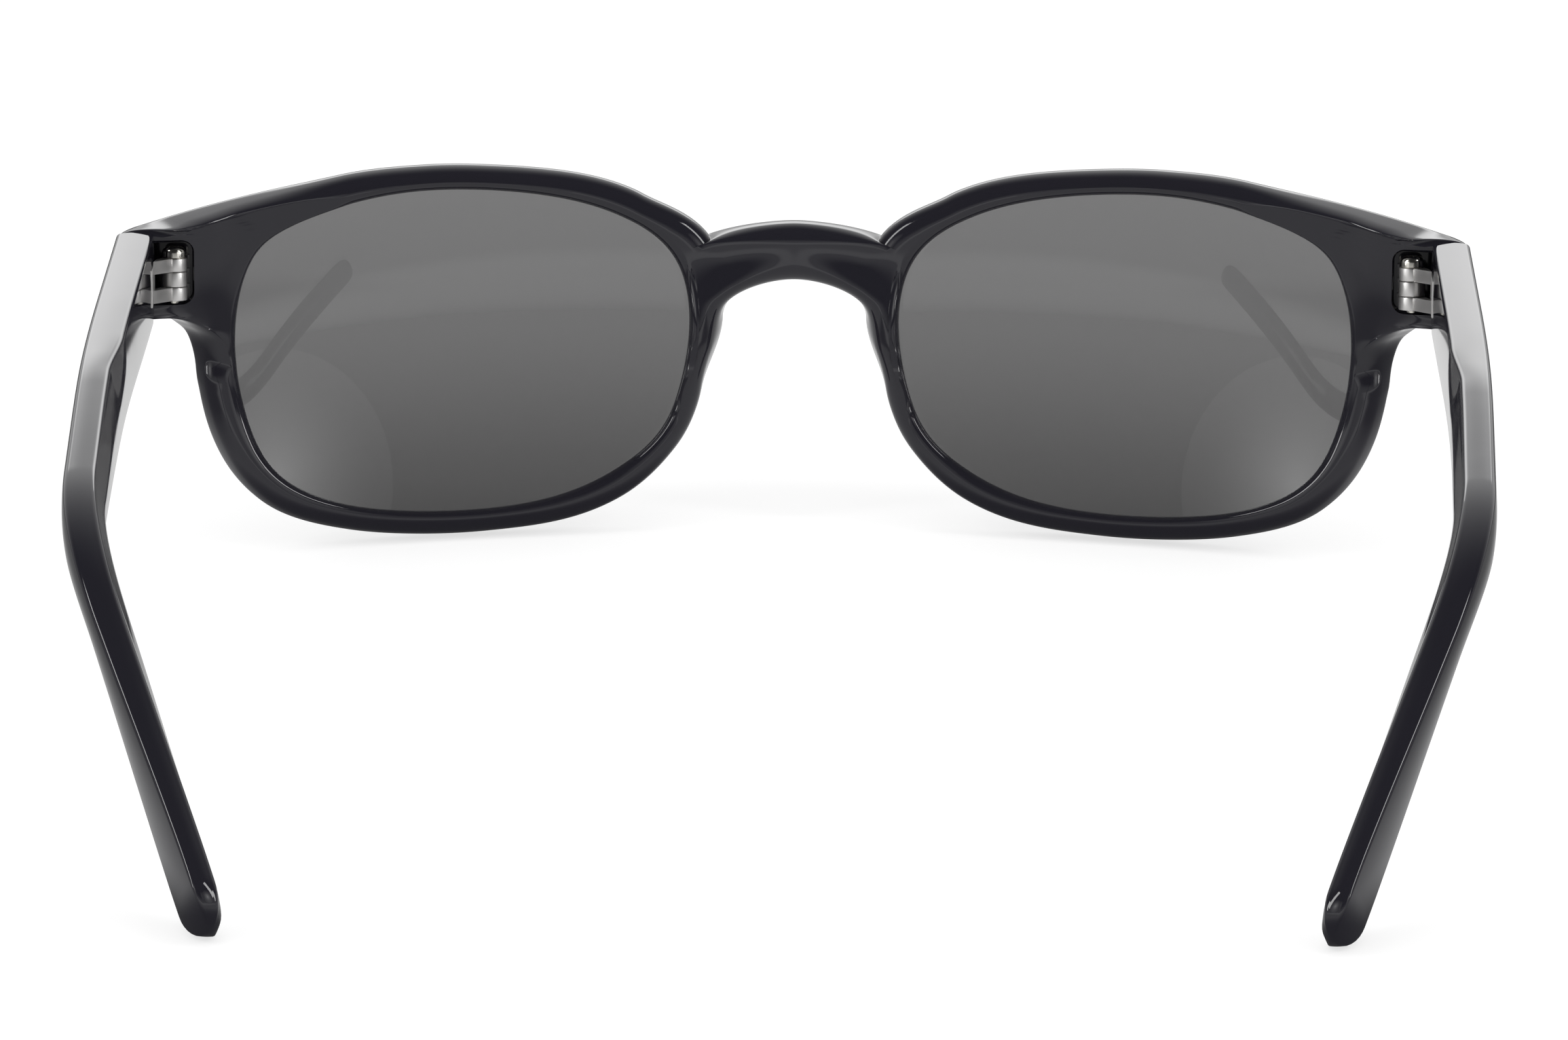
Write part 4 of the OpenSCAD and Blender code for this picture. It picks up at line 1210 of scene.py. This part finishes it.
def lit_from_middle(obj):
    """Makes an umbrella brighter at its middle: its glow goes from the rim's to
    the middle's by (1 - d)^2, where d is the share of the way to its rim."""
    obj.data.use_nodes = True
    tree = obj.data.node_tree
    place = tree.nodes.new("ShaderNodeNewGeometry")
    way = tree.nodes.new("ShaderNodeVectorMath")
    way.operation = "DISTANCE"
    way.inputs[1].default_value = (0.5, 0.5, 0)
    tree.links.new(place.outputs["Parametric"], way.inputs[0])
    near = tree.nodes.new("ShaderNodeMapRange")
    near.inputs["From Max"].default_value = 0.5
    near.inputs["To Min"].default_value, near.inputs["To Max"].default_value = 1, 0
    tree.links.new(way.outputs["Value"], near.inputs["Value"])
    square = maths(tree, "MULTIPLY", near.outputs["Result"], near.outputs["Result"])
    tree.links.new(ranged(tree, square, UMBRELLA_RIM, UMBRELLA_MIDDLE),
                   tree.nodes["Emission"].inputs["Strength"])


def camera():
    """Camera at the photograph's place."""
    az, el, roll = np.radians([CAMERA_AZ, CAMERA_EL, CAMERA_ROLL])
    back = np.array([np.sin(az) * np.cos(el), -np.cos(az) * np.cos(el), np.sin(el)])
    right = np.array([np.cos(az), np.sin(az), 0])
    up = np.cross(back, right)
    right, up = (right * np.cos(roll) + up * np.sin(roll),
                 up * np.cos(roll) - right * np.sin(roll))
    data = bpy.data.cameras.new("camera")
    data.lens, data.sensor_width = CAMERA_LENS, CAMERA_SENSOR
    data.clip_start, data.clip_end = CAMERA_CLIP
    obj = added("camera", data)
    place = (CAMERA_PLACE - ORIGIN) * MM
    turn = np.eye(4)
    turn[:3, 0], turn[:3, 1], turn[:3, 2], turn[:3, 3] = right, up, back, place
    obj.matrix_world = Matrix(turn.tolist())
    bpy.context.scene.camera = obj


floor()
room()
fill = lamp("fill", "RECTANGLE", size=(1.2, 1.2), place=(0, 0.1, 1.6), aim=(0, 0, 0), glow=1.0)
fill.visible_glossy = False
backdrop = lamp("backdrop", "RECTANGLE", size=(0.62, 0.26), place=(0, 0.95, 0.25),
                aim=(0, 0, 0.12), glow=1.5)
soft_edged(backdrop, 0.4)
for side in (-1, 1):
    aim = (side * 0.05, 0.05, 0.02)
    umbrella = lamp("umbrella", "ELLIPSE", size=(0.70, 0.70), place=(side * 0.84, -0.72, 0.36),
                    aim=aim, glow=1.0)
    lit_from_middle(umbrella)
    lamp("strip", "RECTANGLE", size=(0.16, 1.0), place=(side * 0.95, -0.32, 0.55), aim=aim,
         glow=8.0)
camera()

bpy.context.scene.view_settings.view_transform = "Standard"
as_lists = lambda box: [list(map(float, corner)) for corner in box]
{"cad": as_lists(cad_box), "visual": as_lists(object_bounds())}
